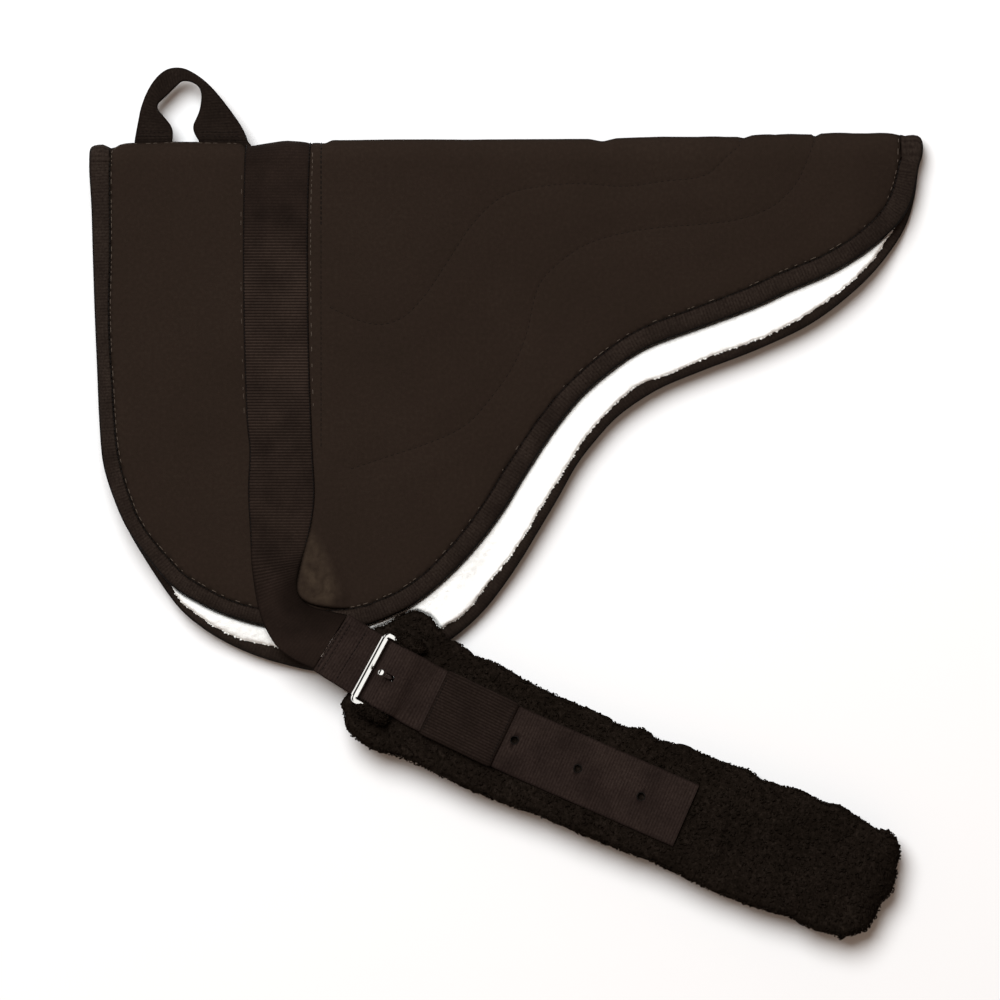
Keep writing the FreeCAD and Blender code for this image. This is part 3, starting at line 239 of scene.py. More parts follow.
def dist_to(p, c, arcs=False):
    """Distance from points p to the polyline c, and the length along c of the nearest point."""
    a, b = c[:-1], c[1:]
    ab = b - a
    l2 = np.maximum((ab ** 2).sum(1), 1e-12)
    acc = arc_of(c)[:-1]
    ln = np.sqrt(l2)
    d = np.empty(len(p))
    s = np.empty(len(p))
    for i in range(0, len(p), 4000):
        q = p[i:i + 4000, None, :] - a[None]
        t = np.clip((q * ab[None]).sum(2) / l2[None], 0, 1)
        dd = ((q - t[..., None] * ab[None]) ** 2).sum(2)
        k = dd.argmin(1)
        r = np.arange(len(k))
        d[i:i + 4000] = np.sqrt(dd[r, k])
        s[i:i + 4000] = acc[k] + t[r, k] * ln[k]
    return (d, s) if arcs else d


def inside(p, poly):
    x, y = p[:, 0], p[:, 1]
    res = np.zeros(len(p), bool)
    a = poly
    b = np.roll(poly, -1, 0)
    for (x0, y0), (x1, y1) in zip(a, b):
        if y0 == y1:
            continue
        hit = ((y0 > y) != (y1 > y)) & (x < (x1 - x0) * (y - y0) / (y1 - y0) + x0)
        res ^= hit
    return res


def inset(c, d, keep_ends=True):
    """The open curve c moved d to its left, with the loops that a tight bend makes taken out."""
    q = c + left_of(tangents(c)) * d
    ok = dist_to(q, c) > abs(d) - 0.25
    q = q[ok]
    return resample(q, 1.5)


_rs = np.random.RandomState(11)
_perm = _rs.permutation(4096)
_grad = _rs.normal(size=(4096, 3))
_grad /= np.linalg.norm(_grad, axis=1, keepdims=True)
_cell = _rs.rand(4096, 3)


def _hash(i, j, k, seed):
    return _perm[(i * 73856093 ^ j * 19349663 ^ k * 83492791 ^ seed * 2654435) & 4095]


def perlin(p, size, seed=0):
    """Smooth noise from about -1 to 1 whose lumps are about size across."""
    p = np.asarray(p, float) / size
    if p.shape[1] == 2:
        p = np.c_[p, np.full(len(p), 0.37)]
    f = np.floor(p).astype(np.int64)
    r = p - f
    u = r * r * r * (r * (r * 6 - 15) + 10)
    v = 0
    for dx in (0, 1):
        for dy in (0, 1):
            for dz in (0, 1):
                h = _hash(f[:, 0] + dx, f[:, 1] + dy, f[:, 2] + dz, seed)
                g = _grad[h]
                w = (np.where(dx, u[:, 0], 1 - u[:, 0]) * np.where(dy, u[:, 1], 1 - u[:, 1])
                     * np.where(dz, u[:, 2], 1 - u[:, 2]))
                v = v + w * ((r - (dx, dy, dz)) * g).sum(1)
    return v * 1.6


def cells(p, size, seed=0):
    """Distance to the nearest of a set of scattered points, one per cell of this size."""
    p = np.asarray(p, float) / size
    if p.shape[1] == 2:
        p = np.c_[p, np.full(len(p), 0.5)]
    f = np.floor(p).astype(np.int64)
    best = np.full(len(p), 9.0)
    for dx in (-1, 0, 1):
        for dy in (-1, 0, 1):
            for dz in (-1, 0, 1):
                c = f + (dx, dy, dz)
                h = _hash(c[:, 0], c[:, 1], c[:, 2], seed)
                q = c + _cell[h]
                best = np.minimum(best, ((q - p) ** 2).sum(1))
    return np.sqrt(best)


def ramp(x, a, b):
    t = np.clip((x - a) / (b - a), 0, 1)
    return t * t * (3 - 2 * t)


# ---------------------------------------------------------------- meshes
def mesh_piece(name, v, faces, mats=(), attrs=None, smooth=True, sharp=None):
    """A mesh object from points in mm. faces is a list of index arrays, each with one face size."""
    v = np.asarray(v, float) * 0.001
    me = bpy.data.meshes.new(name)
    me.vertices.add(len(v))
    me.vertices.foreach_set("co", v.astype(np.float32).ravel())
    faces = [np.asarray(f, np.int32) for f in faces if len(f)]
    total = np.concatenate([np.full(len(f), f.shape[1], np.int32) for f in faces])
    loops = np.concatenate([f.ravel() for f in faces])
    me.loops.add(len(loops))
    me.loops.foreach_set("vertex_index", loops)
    me.polygons.add(len(total))
    me.polygons.foreach_set("loop_start", np.r_[0, np.cumsum(total)[:-1]].astype(np.int32))
    me.polygons.foreach_set("loop_total", total)
    me.update(calc_edges=True)
    me.validate(clean_customdata=False)
    me.polygons.foreach_set("use_smooth", np.full(len(me.polygons), smooth))
    if sharp:
        me.set_sharp_from_angle(angle=math.radians(sharp))
    for key, val in (attrs or {}).items():
        val = np.asarray(val, np.float32)
        if val.ndim == 1:
            a = me.attributes.new(key, "FLOAT", "POINT")
            a.data.foreach_set("value", val)
        else:
            a = me.attributes.new(key, "FLOAT_VECTOR", "POINT")
            a.data.foreach_set("vector", val.ravel())
    ob = bpy.data.objects.new(name, me)
    bpy.context.scene.collection.objects.link(ob)
    for m in mats:
        me.materials.append(m)
    return ob


def rings_to_faces(n, k, base=0, loop=False):
    i = np.arange(n if loop else n - 1)[:, None]
    j = np.arange(k)[None]
    a = i * k + j
    b = i * k + (j + 1) % k
    c = ((i + 1) % n) * k + (j + 1) % k
    d = ((i + 1) % n) * k + j
    return np.stack([a, d, c, b], -1).reshape(-1, 4) + base


def tube(rings, caps=True, flip=False):
    """Points and faces of a closed tube through rings of the same number of points."""
    r = np.asarray(rings, float)
    n, k, _ = r.shape
    v = r.reshape(-1, 3)
    f = [rings_to_faces(n, k)]
    if caps:
        c0 = len(v)
        v = np.vstack([v, r[0].mean(0), r[-1].mean(0)])
        j = np.arange(k)
        f.append(np.stack([np.full(k, c0), j, (j + 1) % k], 1))
        e = (n - 1) * k
        f.append(np.stack([np.full(k, c0 + 1), e + (j + 1) % k, e + j], 1))
    if flip:
        f = [x[:, ::-1] for x in f]
    return v, f


def join_parts(parts):
    v, f, o = [], [], 0
    for pv, pf in parts:
        v.append(pv)
        f += [x + o for x in pf]
        o += len(pv)
    return np.vstack(v), f


def fill(poly, holes=(), step=3.0, lines=(), near_step=1.2, near_width=3.0, edge_gap=0.55, jitter=0.0, seed=1):
    """Triangles over a flat region. Lines get rows of points beside them."""
    poly = np.asarray(poly, float)
    lo, hi = poly.min(0), poly.max(0)
    h = step * math.sqrt(3) / 2
    ys = np.arange(lo[1] + h / 2, hi[1], h)
    pts = []
    for i, y in enumerate(ys):
        xs = np.arange(lo[0] + (step / 2 if i % 2 else 0), hi[0], step)
        pts.append(np.c_[xs, np.full(len(xs), y)])
    pts = np.vstack(pts)
    if jitter:
        pts += np.random.RandomState(seed).uniform(-jitter, jitter, pts.shape)
    closed = np.vstack([poly, poly[:1]])
    ok = inside(pts, poly)
    pts = pts[ok]
    pts = pts[dist_to(pts, closed) > edge_gap * step]
    extra = []
    for c in lines:
        c = resample(c, near_step * 1.15)
        nn = left_of(tangents(c))
        offs = [0.0]
        o = near_step
        while o < near_width:
            offs += [o, -o]
            o *= 1.55
        ring = np.vstack([c + nn * k for k in offs])
        ring = ring[inside(ring, poly)]
        ring = ring[dist_to(ring, closed) > 0.5 * near_step]
        d = dist_to(pts, c)
        pts = pts[d > near_width * 0.95]
        extra.append(ring)
    if extra:
        pts = np.vstack([pts] + extra)
    n = len(poly)
    verts = [Vector((float(a), float(b))) for a, b in poly]
    edges = []
    face_loops = [list(range(n))]
    for hole in holes:
        b0 = len(verts)
        verts += [Vector((float(a), float(b))) for a, b in hole]
        m = len(hole)
        edges += [(b0 + i, b0 + (i + 1) % m) for i in range(m)]
        pts = pts[~inside(pts, np.asarray(hole))]
        hc = np.vstack([hole, hole[:1]])
        pts = pts[dist_to(pts, hc) > 0.35 * np.linalg.norm(hole[0] - hole[1]) + 0.2]
    verts += [Vector((float(a), float(b))) for a, b in pts]
    out = delaunay_2d_cdt(verts, edges, face_loops, 1, 1e-7)
    p = np.array([(a[0], a[1]) for a in out[0]])
    t = np.array([f for f in out[2] if len(f) == 3], np.int64)
    cen = p[t].mean(1)
    keep = inside(cen, poly)
    for hole in holes:
        keep &= ~inside(cen, np.asarray(hole))
    t = t[keep]
    # anticlockwise
    e1 = p[t[:, 1]] - p[t[:, 0]]
    e2 = p[t[:, 2]] - p[t[:, 0]]
    cw = (e1[:, 0] * e2[:, 1] - e1[:, 1] * e2[:, 0]) < 0
    t[cw] = t[cw][:, ::-1]
    return p, t


def boundary_loops(t):
    """Directed edges that belong to one triangle only."""
    e = np.vstack([t[:, [0, 1]], t[:, [1, 2]], t[:, [2, 0]]])
    key = {}
    for a, b in e:
        key[(a, b)] = True
    return np.array([(a, b) for (a, b) in key if (b, a) not in key])


def slab(p, t, top, bot):
    """A closed solid from one triangulation and two sets of 3-D points."""
    n = len(p)
    e = boundary_loops(t)
    walls = np.stack([e[:, 0], e[:, 0] + n, e[:, 1] + n, e[:, 1]], 1)
    return np.vstack([top, bot]), [t, t[:, ::-1] + n, walls]


def ribbon(left, right, up, thick, pitch=2.8, amp=0.14, nv=12, s0=0.0, edge_pow=9.0, wave=0.0, seed=3,
           tuck=0.0, edge_shade_width=1.2, fade=1.0):
    """Woven webbing between two edges, with raised ribs across it.

    left and right are matching 3-D points, up the direction of the face that shows. tuck is how
    far the sewn edges are pulled down, fade how strong the ribs are. Returns points, faces, the
    rib height (painted down along both edges as shade) and the (across, along, underside) place of every point."""
    left, right = np.asarray(left, float), np.asarray(right, float)
    n = len(left)
    mid = (left + right) / 2
    s = arc_of(mid) + s0
    up = np.broadcast_to(np.asarray(up, float), mid.shape)
    up = up / np.linalg.norm(up, axis=1, keepdims=True)
    th = np.broadcast_to(np.asarray(thick, float), (n,))
    wv = np.broadcast_to(np.asarray(wave, float), (n,))
    fd = np.broadcast_to(np.asarray(fade, float), (n,))
    c = np.linspace(-1, 1, nv)
    c = np.sign(c) * (1 - (1 - np.abs(c)) ** 1.45)
    e = (1 - np.abs(c) ** edge_pow) ** 0.5
    rib = np.abs(np.sin(np.pi * ((s / pitch) % 1.0))) ** 0.75
    rib = 0.6 + (rib - 0.6) * fd
    wid = np.linalg.norm(right - left, axis=1)
    hw = 0.5 + 0.12 * (rib - 0.5) / np.maximum(wid, 1e-6)
    cross = np.stack([mid + (right - left) * (ci * hw)[:, None] for ci in c], 1)
    tk = np.broadcast_to(np.asarray(tuck, float), (n,))
    lump = perlin(cross.reshape(-1, 3), 34.0, seed).reshape(n, nv) * wv[:, None] - tk[:, None] * np.abs(c)[None] ** 7
    tn = (th[:, None] / 2 * e[None]) + amp * (rib[:, None] - 0.6) * e[None]
    top = cross + up[:, None, :] * (tn + lump)[..., None]
    bot = cross - up[:, None, :] * (tn - lump)[..., None]
    ring = np.concatenate([top, bot[:, ::-1][:, 1:-1]], 1)
    v, f = tube(ring)
    k = ring.shape[1]
    ac = np.concatenate([c, c[::-1][1:-1]])
    across = ac[None] * wid[:, None] / 2
    along = np.broadcast_to(s[:, None], (n, k)).ravel()
    # painted shade: in a band along both edges the ribs, and with them the colour, fall to the dark valley colour
    edge = ramp(np.abs(across), (wid[:, None] / 2 - edge_shade_width), (wid[:, None] / 2 - 0.15))
    ribs = (rib[:, None] * (1 - 0.9 * edge)).ravel()
    face = np.broadcast_to(np.concatenate([np.zeros(nv), np.ones(k - nv)])[None], (n, k)).ravel()
    extra = len(v) - n * k
    z = np.zeros(extra)
    return (v, f, np.r_[ribs, z + 0.3],
            np.c_[np.r_[across.ravel(), z], np.r_[along, z + s.mean()], np.r_[face, z]])


def stitch_run(path, up, length=2.7, gap=1.0, rad=0.3, lift=0.12, sides=5, skew=0.0, start=0.0):
    """A row of thread stitches along a 3-D path."""
    path = np.asarray(path, float)
    acc = arc_of(path)
    up = np.broadcast_to(np.asarray(up, float), path.shape)
    parts = []
    pos = start + 0.5
    frac = np.array([0.0, 0.14, 0.5, 0.86, 1.0])
    dip = np.array([-0.55, 0.05, 0.3, 0.05, -0.55]) * 1.0
    fat = np.array([0.45, 0.95, 1.0, 0.95, 0.45])
    ang = np.arange(sides) / sides * 2 * math.pi
    while pos + length < acc[-1]:
        s = pos + frac * length
        p = np.stack([np.interp(s, acc, path[:, k]) for k in range(3)], 1)
        u = np.stack([np.interp(s, acc, up[:, k]) for k in range(3)], 1)
        u /= np.linalg.norm(u, axis=1, keepdims=True)
        tdir = p[-1] - p[0]
        tdir /= max(np.linalg.norm(tdir), 1e-9)
        side = np.cross(tdir, u)
        p = p + u * (lift + dip * rad)[:, None] + side * (skew * (frac - 0.5))[:, None]
        ring = (p[:, None] + (side[:, None] * np.cos(ang)[None, :, None]
                + u[:, None] * np.sin(ang)[None, :, None] * 0.8) * (rad * fat)[:, None, None])
        parts.append(tube(ring))
        pos += length + gap
    return parts


# ---------------------------------------------------------------- materials
def srgb(r, g, b):
    def lin(c):
        c /= 255.0
        return c / 12.92 if c <= 0.04045 else ((c + 0.055) / 1.055) ** 2.4
    return (lin(r), lin(g), lin(b), 1.0)


class Nodes:
    """Short hand for building one material."""

    def __init__(self, name, rough=0.85, metal=0.0, sheen=0.0, sheen_rough=0.5, spec=0.5):
        self.mat = bpy.data.materials.new(name)
        self.mat.use_nodes = True
        self.t = self.mat.node_tree
        self.t.nodes.clear()
        self.out = self.t.nodes.new("ShaderNodeOutputMaterial")
        self.b = self.t.nodes.new("ShaderNodeBsdfPrincipled")
        self.t.links.new(self.b.outputs[0], self.out.inputs[0])
        self.b.inputs["Roughness"].default_value = rough
        self.b.inputs["Metallic"].default_value = metal
        self.b.inputs["Sheen Weight"].default_value = sheen
        self.b.inputs["Sheen Roughness"].default_value = sheen_rough
        self.b.inputs["Specular IOR Level"].default_value = spec

    def new(self, kind, **props):
        n = self.t.nodes.new(kind)
        for k, v in props.items():
            setattr(n, k, v)
        return n

    def link(self, a, b):
        self.t.links.new(a, b)

    def attr(self, name):
        return self.new("ShaderNodeAttribute", attribute_name=name)

    def coords(self, scale=1.0, attr=None):
        """Coordinates in millimetres times scale."""
        if attr:
            src = self.attr(attr).outputs["Vector"]
            k = scale
        else:
            src = self.new("ShaderNodeTexCoord").outputs["Object"]
            k = 1000.0 * scale
        m = self.new("ShaderNodeVectorMath", operation="SCALE")
        self.link(src, m.inputs[0])
        m.inputs["Scale"].default_value = k
        return m.outputs[0]

    def noise(self, vec, scale, detail=3.0, rough=0.55, distort=0.0):
        n = self.new("ShaderNodeTexNoise")
        n.inputs["Scale"].default_value = scale
        n.inputs["Detail"].default_value = detail
        n.inputs["Roughness"].default_value = rough
        n.inputs["Distortion"].default_value = distort
        self.link(vec, n.inputs["Vector"])
        return n.outputs["Fac"]

    def wave(self, vec, scale, axis="X", distort=0.0, detail=2.0, profile="SIN", dscale=1.0):
        n = self.new("ShaderNodeTexWave", wave_type="BANDS", bands_direction=axis, wave_profile=profile)
        n.inputs["Scale"].default_value = scale
        n.inputs["Distortion"].default_value = distort
        n.inputs["Detail"].default_value = detail
        n.inputs["Detail Scale"].default_value = dscale
        self.link(vec, n.inputs["Vector"])
        return n.outputs["Fac"]

    def ramp(self, fac, stops):
        n = self.new("ShaderNodeValToRGB")
        e = n.color_ramp.elements
        while len(e) < len(stops):
            e.new(0.5)
        for el, (pos, col) in zip(e, stops):
            el.position = pos
            el.color = col
        self.link(fac, n.inputs[0])
        return n.outputs[0]

    def math(self, op, a, b=None, clamp=False):
        n = self.new("ShaderNodeMath", operation=op, use_clamp=clamp)
        for i, x in enumerate((a, b)):
            if x is None:
                continue
            if isinstance(x, (int, float)):
                n.inputs[i].default_value = x
            else:
                self.link(x, n.inputs[i])
        return n.outputs[0]

    def mix(self, fac, a, b, mode="MIX"):
        n = self.new("ShaderNodeMix", data_type="RGBA", blend_type=mode)
        for sock, x in ((0, fac), (6, a), (7, b)):
            if isinstance(x, (int, float)):
                n.inputs[sock].default_value = x
            elif isinstance(x, tuple):
                n.inputs[sock].default_value = x
            else:
                self.link(x, n.inputs[sock])
        return n.outputs[2]

    def colour(self, sock):
        self.link(sock, self.b.inputs["Base Color"])

    def rough(self, sock):
        self.link(sock, self.b.inputs["Roughness"])

    def bump(self, height, dist, strength=1.0, prev=None):
        n = self.new("ShaderNodeBump")
        n.inputs["Strength"].default_value = strength
        n.inputs["Distance"].default_value = dist
        self.link(height, n.inputs["Height"])
        if prev is not None:
            self.link(prev, n.inputs["Normal"])
        return n.outputs[0]

    def normal(self, sock):
        self.link(sock, self.b.inputs["Normal"])


def shell_material(name, dark, mid, light, pale_patch, pale_patch_hi, rim, seam_and_painted_shade):
    """Close woven cloth. Three attributes colour it, each from 0 to 1: one paints a paler streaky patch, rim paints a
    light rim as a painted highlight, and the third mixes in a dark colour that is painted shade and the dark line of a
    stitched join.
    """
    m = Nodes(name, rough=0.86, sheen=0.0, spec=0.012)
    v = m.coords(1.0, "flat")
    big = m.noise(v, 0.012, 2.0)
    small = m.noise(v, 0.35, 4.0, 0.7)
    twill = m.wave(v, 0.42, "DIAGONAL", 1.2, 2.0)
    weft = m.wave(v, 0.62, "Y", 0.6, 1.0)
    f = m.math("ADD", m.math("MULTIPLY", big, 0.3), m.math("MULTIPLY", small, 0.7))
    col = m.ramp(f, [(0.30, dark), (0.52, mid), (0.74, light)])
    slubs = m.ramp(m.noise(v, 1.4, 2.0, 0.8), [(0.62, (0, 0, 0, 1)), (0.78, (1, 1, 1, 1))])
    col = m.mix(m.math("MULTIPLY", slubs, 0.16), col, light)
    streak = m.noise(v, 0.11, 5.0, 0.65, 0.6)
    # a paler streaky colour where a piece asks for it; the slack fold uses it
    col = m.mix(m.attr("pale_patch").outputs["Fac"], col, m.ramp(streak, [(0.35, pale_patch), (0.62, pale_patch_hi)]))
    # painted highlight: a speckled light rim colour where a piece sets the rim attribute
    rim_highlight_noise = m.ramp(m.noise(v, 0.16, 4.0, 0.75), [(0.38, (0, 0, 0, 1)), (0.62, (1, 1, 1, 1))])
    col = m.mix(m.math("MULTIPLY", m.attr("rim").outputs["Fac"], rim_highlight_noise), col, rim)
    # painted shade, and the dark line of a stitched join: a dark colour mixed in where a piece asks for it
    col = m.mix(m.attr("seam_and_painted_shade").outputs["Fac"], col, seam_and_painted_shade)
    m.colour(col)
    h = m.math("ADD", m.math("MULTIPLY", twill, 0.5), m.math("MULTIPLY", weft, 0.35))
    h = m.math("ADD", h, m.math("MULTIPLY", small, 0.5))
    m.normal(m.bump(h, 0.00016, 0.55, m.bump(m.noise(v, 0.09, 3.0), 0.0009, 0.25)))
    m.rough(m.ramp(small, [(0.3, (0.80, 0.80, 0.80, 1)), (0.7, (0.92, 0.92, 0.92, 1))]))
    return m.mat


def webbing_material(name, valley, crest, glint, spec=0.012, parts=(0.62, 0.12, 0.26), stops=(0.14, 0.62, 0.95), fleck=0.3):
    """Ribbed webbing: dark between the ribs and lighter on them, as painted shade and painted highlight
    over the raised ribs, with fine warp yarns. parts says how much of the pattern is rib, yarn and unevenness."""
    m = Nodes(name, rough=0.66, sheen=0.0, spec=spec)
    v = m.coords(1.0, "weave")
    rib = m.attr("rib").outputs["Fac"]
    yarn = m.wave(v, 0.55, "X", 0.5, 1.0)
    n1 = m.noise(v, 0.5, 3.0, 0.7)
    n2 = m.noise(v, 0.035, 3.0)
    f = m.math("ADD", m.math("MULTIPLY", rib, parts[0]), m.math("MULTIPLY", yarn, parts[1]))
    f = m.math("ADD", f, m.math("MULTIPLY", n1, parts[2]))
    col = m.ramp(f, [(stops[0], valley), (stops[1], crest), (stops[2], glint)])
    stray = m.ramp(m.noise(v, 0.85, 3.0, 0.8), [(0.56, (0, 0, 0, 1)), (0.74, (1, 1, 1, 1))])
    col = m.mix(m.math("MULTIPLY", stray, fleck), col, glint)
    col = m.mix(m.ramp(n2, [(0.35, (0, 0, 0, 1)), (0.75, (0.55, 0.55, 0.55, 1))]), col, valley)
    # painted shade, and the dark line of a stitched join, mixed in where a piece asks for it
    col = m.mix(m.attr("seam_and_painted_shade").outputs["Fac"], col, srgb(5, 3, 2))
    m.colour(col)
    h = m.math("ADD", m.math("MULTIPLY", yarn, 0.6), m.math("MULTIPLY", n1, 0.4))
    m.normal(m.bump(h, 0.00018, 0.6))
    m.rough(m.ramp(n1, [(0.3, (0.60, 0.60, 0.60, 1)), (0.7, (0.78, 0.78, 0.78, 1))]))
    return m.mat


def fleece_material(name, deep, mid, tip, rough=0.95, sheen=0.2, bump=0.0009, spec=0.03):
    m = Nodes(name, rough=rough, sheen=sheen, sheen_rough=0.6, spec=spec)
    v = m.coords(1.0)
    curl = m.noise(v, 0.33, 4.0, 0.7, 1.2)
    fine = m.noise(v, 1.5, 3.0, 0.8)
    big = m.noise(v, 0.03, 3.0)
    f = m.math("ADD", m.math("MULTIPLY", curl, 0.55), m.math("MULTIPLY", fine, 0.3))
    f = m.math("ADD", f, m.math("MULTIPLY", big, 0.15))
    m.colour(m.ramp(f, [(0.36, deep), (0.52, mid), (0.68, tip)]))
    h = m.math("ADD", m.math("MULTIPLY", curl, 0.7), m.math("MULTIPLY", fine, 0.4))
    m.normal(m.bump(h, bump, 0.8))
    return m.mat


def thread_material(name, dark, light):
    m = Nodes(name, rough=0.6, sheen=0.02, spec=0.1)
    v = m.coords(1.0)
    tw = m.wave(v, 0.9, "DIAGONAL", 1.0)
    m.colour(m.ramp(tw, [(0.2, dark), (0.8, light)]))
    m.normal(m.bump(tw, 0.0001, 0.5))
    return m.mat


def foam_material(name):
    m = Nodes(name, rough=0.9, spec=0.2)
    v = m.coords(1.0)
    vo = m.new("ShaderNodeTexVoronoi")
    vo.inputs["Scale"].default_value = 0.8
    m.link(v, vo.inputs["Vector"])
    m.colour(m.ramp(vo.outputs["Distance"], [(0.1, srgb(96, 90, 82)), (0.7, srgb(148, 142, 132))]))
    m.normal(m.bump(vo.outputs["Distance"], 0.0006, 0.6))
    return m.mat


def chrome_material(name):
    m = Nodes(name, rough=0.12, metal=1.0, spec=0.5)
    v = m.coords(1.0)
    n = m.noise(v, 0.12, 3.0)
    scratch = m.noise(v, 1.1, 4.0, 0.7, 0.4)
    m.colour(m.ramp(n, [(0.3, srgb(226, 225, 222)), (0.7, srgb(242, 241, 238))]))
    m.rough(m.ramp(scratch, [(0.35, (0.07, 0.07, 0.07, 1)), (0.75, (0.2, 0.2, 0.2, 1))]))
    m.normal(m.bump(scratch, 0.00004, 0.3))
    return m.mat


# the last two colours are a painted highlight for the rim and a dark colour for painted shade
SHELL = shell_material("pad_shell_cloth", srgb(32, 25, 20), srgb(36, 28, 23), srgb(41, 33, 27),
                       srgb(42, 34, 27), srgb(60, 50, 40), srgb(78, 67, 56), srgb(10, 7, 5))
WEB = webbing_material("pad_webbing", srgb(10, 7, 6), srgb(34, 26, 22), srgb(64, 53, 46), parts=(0.66, 0.08, 0.26))
DARK_WEB = webbing_material("handle_webbing", srgb(9, 6, 5), srgb(24, 18, 15), srgb(50, 42, 36), parts=(0.40, 0.16, 0.44),
                            stops=(0.18, 0.52, 0.85), fleck=0.35)
BILLET_WEB = webbing_material("billet_webbing", srgb(14, 9, 8), srgb(34, 26, 23), srgb(60, 50, 45), parts=(0.34, 0.14, 0.52),
                              stops=(0.16, 0.50, 0.88), fleck=0.35)
KEEP_WEB = webbing_material("keeper_webbing", srgb(12, 8, 6), srgb(28, 21, 18), srgb(52, 43, 38), parts=(0.42, 0.14, 0.44),
                            stops=(0.16, 0.55, 0.88), fleck=0.35)
TAPE = webbing_material("pad_binding_tape", srgb(16, 11, 9), srgb(33, 26, 22), srgb(54, 46, 40), spec=0.015,
                        parts=(0.16, 0.16, 0.68), stops=(0.22, 0.48, 0.80), fleck=0.35)
WHITE = fleece_material("pad_white_fleece", srgb(232, 232, 228), srgb(249, 249, 245), srgb(255, 255, 252),
                        sheen=0.0)
BLACK = fleece_material("girth_black_fleece", srgb(10, 7, 5), srgb(23, 18, 14), srgb(42, 35, 30), sheen=0.0, spec=0.0)
THREAD = thread_material("stitching_thread", srgb(5, 3, 2), srgb(16, 11, 9))
# the light colour of the edge fibres is a painted highlight
EDGE_FIBRE_HIGHLIGHT = thread_material("edge_fibre_painted_highlight", srgb(56, 48, 41), srgb(84, 74, 65))
FOAM = foam_material("pad_foam")
CHROME = chrome_material("buckle_chrome")


def finish_piece(ob, body=None, replaces=()):
    if body:
        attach(ob, body)
    if replaces:
        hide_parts(*replaces)
    return ob


# ---------------------------------------------------------------- the cloth and its relief
REAR_X = 310.8
near_edge = smooth_line(NEAR_EDGE, 1.0, sigma=3.0)
far_edge = smooth_line(FAR_EDGE, 1.0, sigma=3.0)
# the outlines run from the front of the fold, round the skirt, to the rear of the fold
near_path = np.vstack([[(-312.2, YC)], near_edge[1:-1], [(REAR_X, YC)]])
far_path = np.vstack([[(-312.2, YC)], far_edge[1:-1], [(REAR_X, YC)]])
near_path = smooth_line(resample(near_path, 6.0), 1.0, sigma=2.0)
far_path = smooth_line(resample(far_path, 6.0), 1.0, sigma=2.0)
near_path[0] = far_path[0] = (-312.2, YC)
near_path[-1] = far_path[-1] = (REAR_X, YC)


def trimmed(c):
    """An inset edge that starts and ends on the fold line."""
    c = c[c[:, 1] < YC - 0.5]
    return np.vstack([[(c[0, 0], YC)], c, [(c[-1, 0], YC)]])


def tape_width(c):
    """Width of the binding tape along an edge that starts at the front of the fold."""
    tab = np.array(TAPE_WIDTH, float)
    s = arc_of(c)
    w = np.interp(s, tab[:, 0], tab[:, 1])
    k = 25
    return np.convolve(np.pad(w, k // 2, "edge"), np.ones(k) / k, "valid")


def inwards(c, by):
    """The edge moved inwards by a distance that may vary along it."""
    by = np.broadcast_to(np.asarray(by, float), (len(c),))
    sg = outwards(c)
    q = c + left_of(tangents(c)) * sg * by[:, None]
    d, at = dist_to(q, c, True)
    return smooth_line(resample(q[d > by * 0.97], 4.0), 1.0, sigma=2.0)


def outwards(c):
    """+1 if left of the outline's direction is inwards."""
    mid = c[len(c) // 2]
    t = tangents(c)
    q = mid + left_of(t)[len(c) // 2] * 10
    return 1.0 if inside(q[None], np.vstack([c]))[0] else -1.0


margin = resample(near_path, 4.0)
margin_poly = margin
near_w = tape_width(near_path)
far_w = np.full(len(far_path), 15.4)
near_in = trimmed(inwards(near_path, near_w - 2.8))
far_in = trimmed(inwards(far_path, far_w - 2.8))

strap_left = smooth_line(STRAP_LEFT, 1.0, sigma=4.0)
strap_right = smooth_line(STRAP_RIGHT, 1.0, sigma=4.0)


def strap_x(y, side):
    c = strap_left if side < 0 else strap_right
    return np.interp(-y, -c[:, 1], c[:, 0])


crest_x = np.array(CREST)
strap_crest = np.array(STRAP_CREST)


def crest_y(x, arr=None):
    a = crest_x if arr is None else arr
    return np.interp(x, a[:, 0], a[:, 1])


def sag(x, y):
    """How far the pad has settled towards the table, away from the strap under it and the fold."""
    return 3.0 * ramp(np.abs(x + 169.2), 78.0, 170.0) * ramp(YC - y, 12.0, 130.0)


def settle(v):
    """Lowers the pad where it has settled. The free margin of the lower half curls up a little."""
    v = np.array(v, float)
    low = sag(v[:, 0], v[:, 1])
    far = np.nonzero(v[:, 1] < YC - 20.0)[0]
    if len(far):
        q = v[far, :2]
        o = dist_to(q, margin) * np.where(inside(q, margin_poly), 0.0, 1.0)
        much = np.where(q[:, 0] > -100, ramp(q[:, 0], -30, 30), 0.9 * ramp(-q[:, 0], 206, 232))
        low[far] = low[far] * (1 - much * ramp(o, 2.0, 15.0)) - 3.9 * much * ramp(o, 2.0, 16.0)
    v[:, 2] -= low
    # the fold is pressed flatter towards the tail
    v[:, 2] *= 1 - 0.34 * ramp(v[:, 0], 258.0, 306.0) - 0.10 * ramp(v[:, 0], 292.0, 311.0)
    return v


def s_of(x, y):
    """Length along the cloth of a point seen from above."""
    k = (crest_y(x) - YC)
    c = np.clip((y - YC) / np.maximum(k, 1e-6), 0, 1)
    return np.where(y <= YC, y, YC + R * (math.pi / 2 - np.arccos(c)))


def cloth_lines(line):
    """A quilting line over both halves, in (x, s)."""
    c = smooth_line(line, 1.5, sigma=5.0)
    n = np.c_[c[:, 0], s_of(c[:, 0], c[:, 1])]
    e = n[-1]
    n = np.vstack([n, (e[0], S_MID)])
    m = n[::-1].copy()
    m[:, 1] = 2 * S_MID - m[:, 1]
    return resample(np.vstack([n, m[1:]]), 1.5)


quilts = [cloth_lines(QUILT_A), cloth_lines(QUILT_B)]
TOPSTITCH_X = -138.4


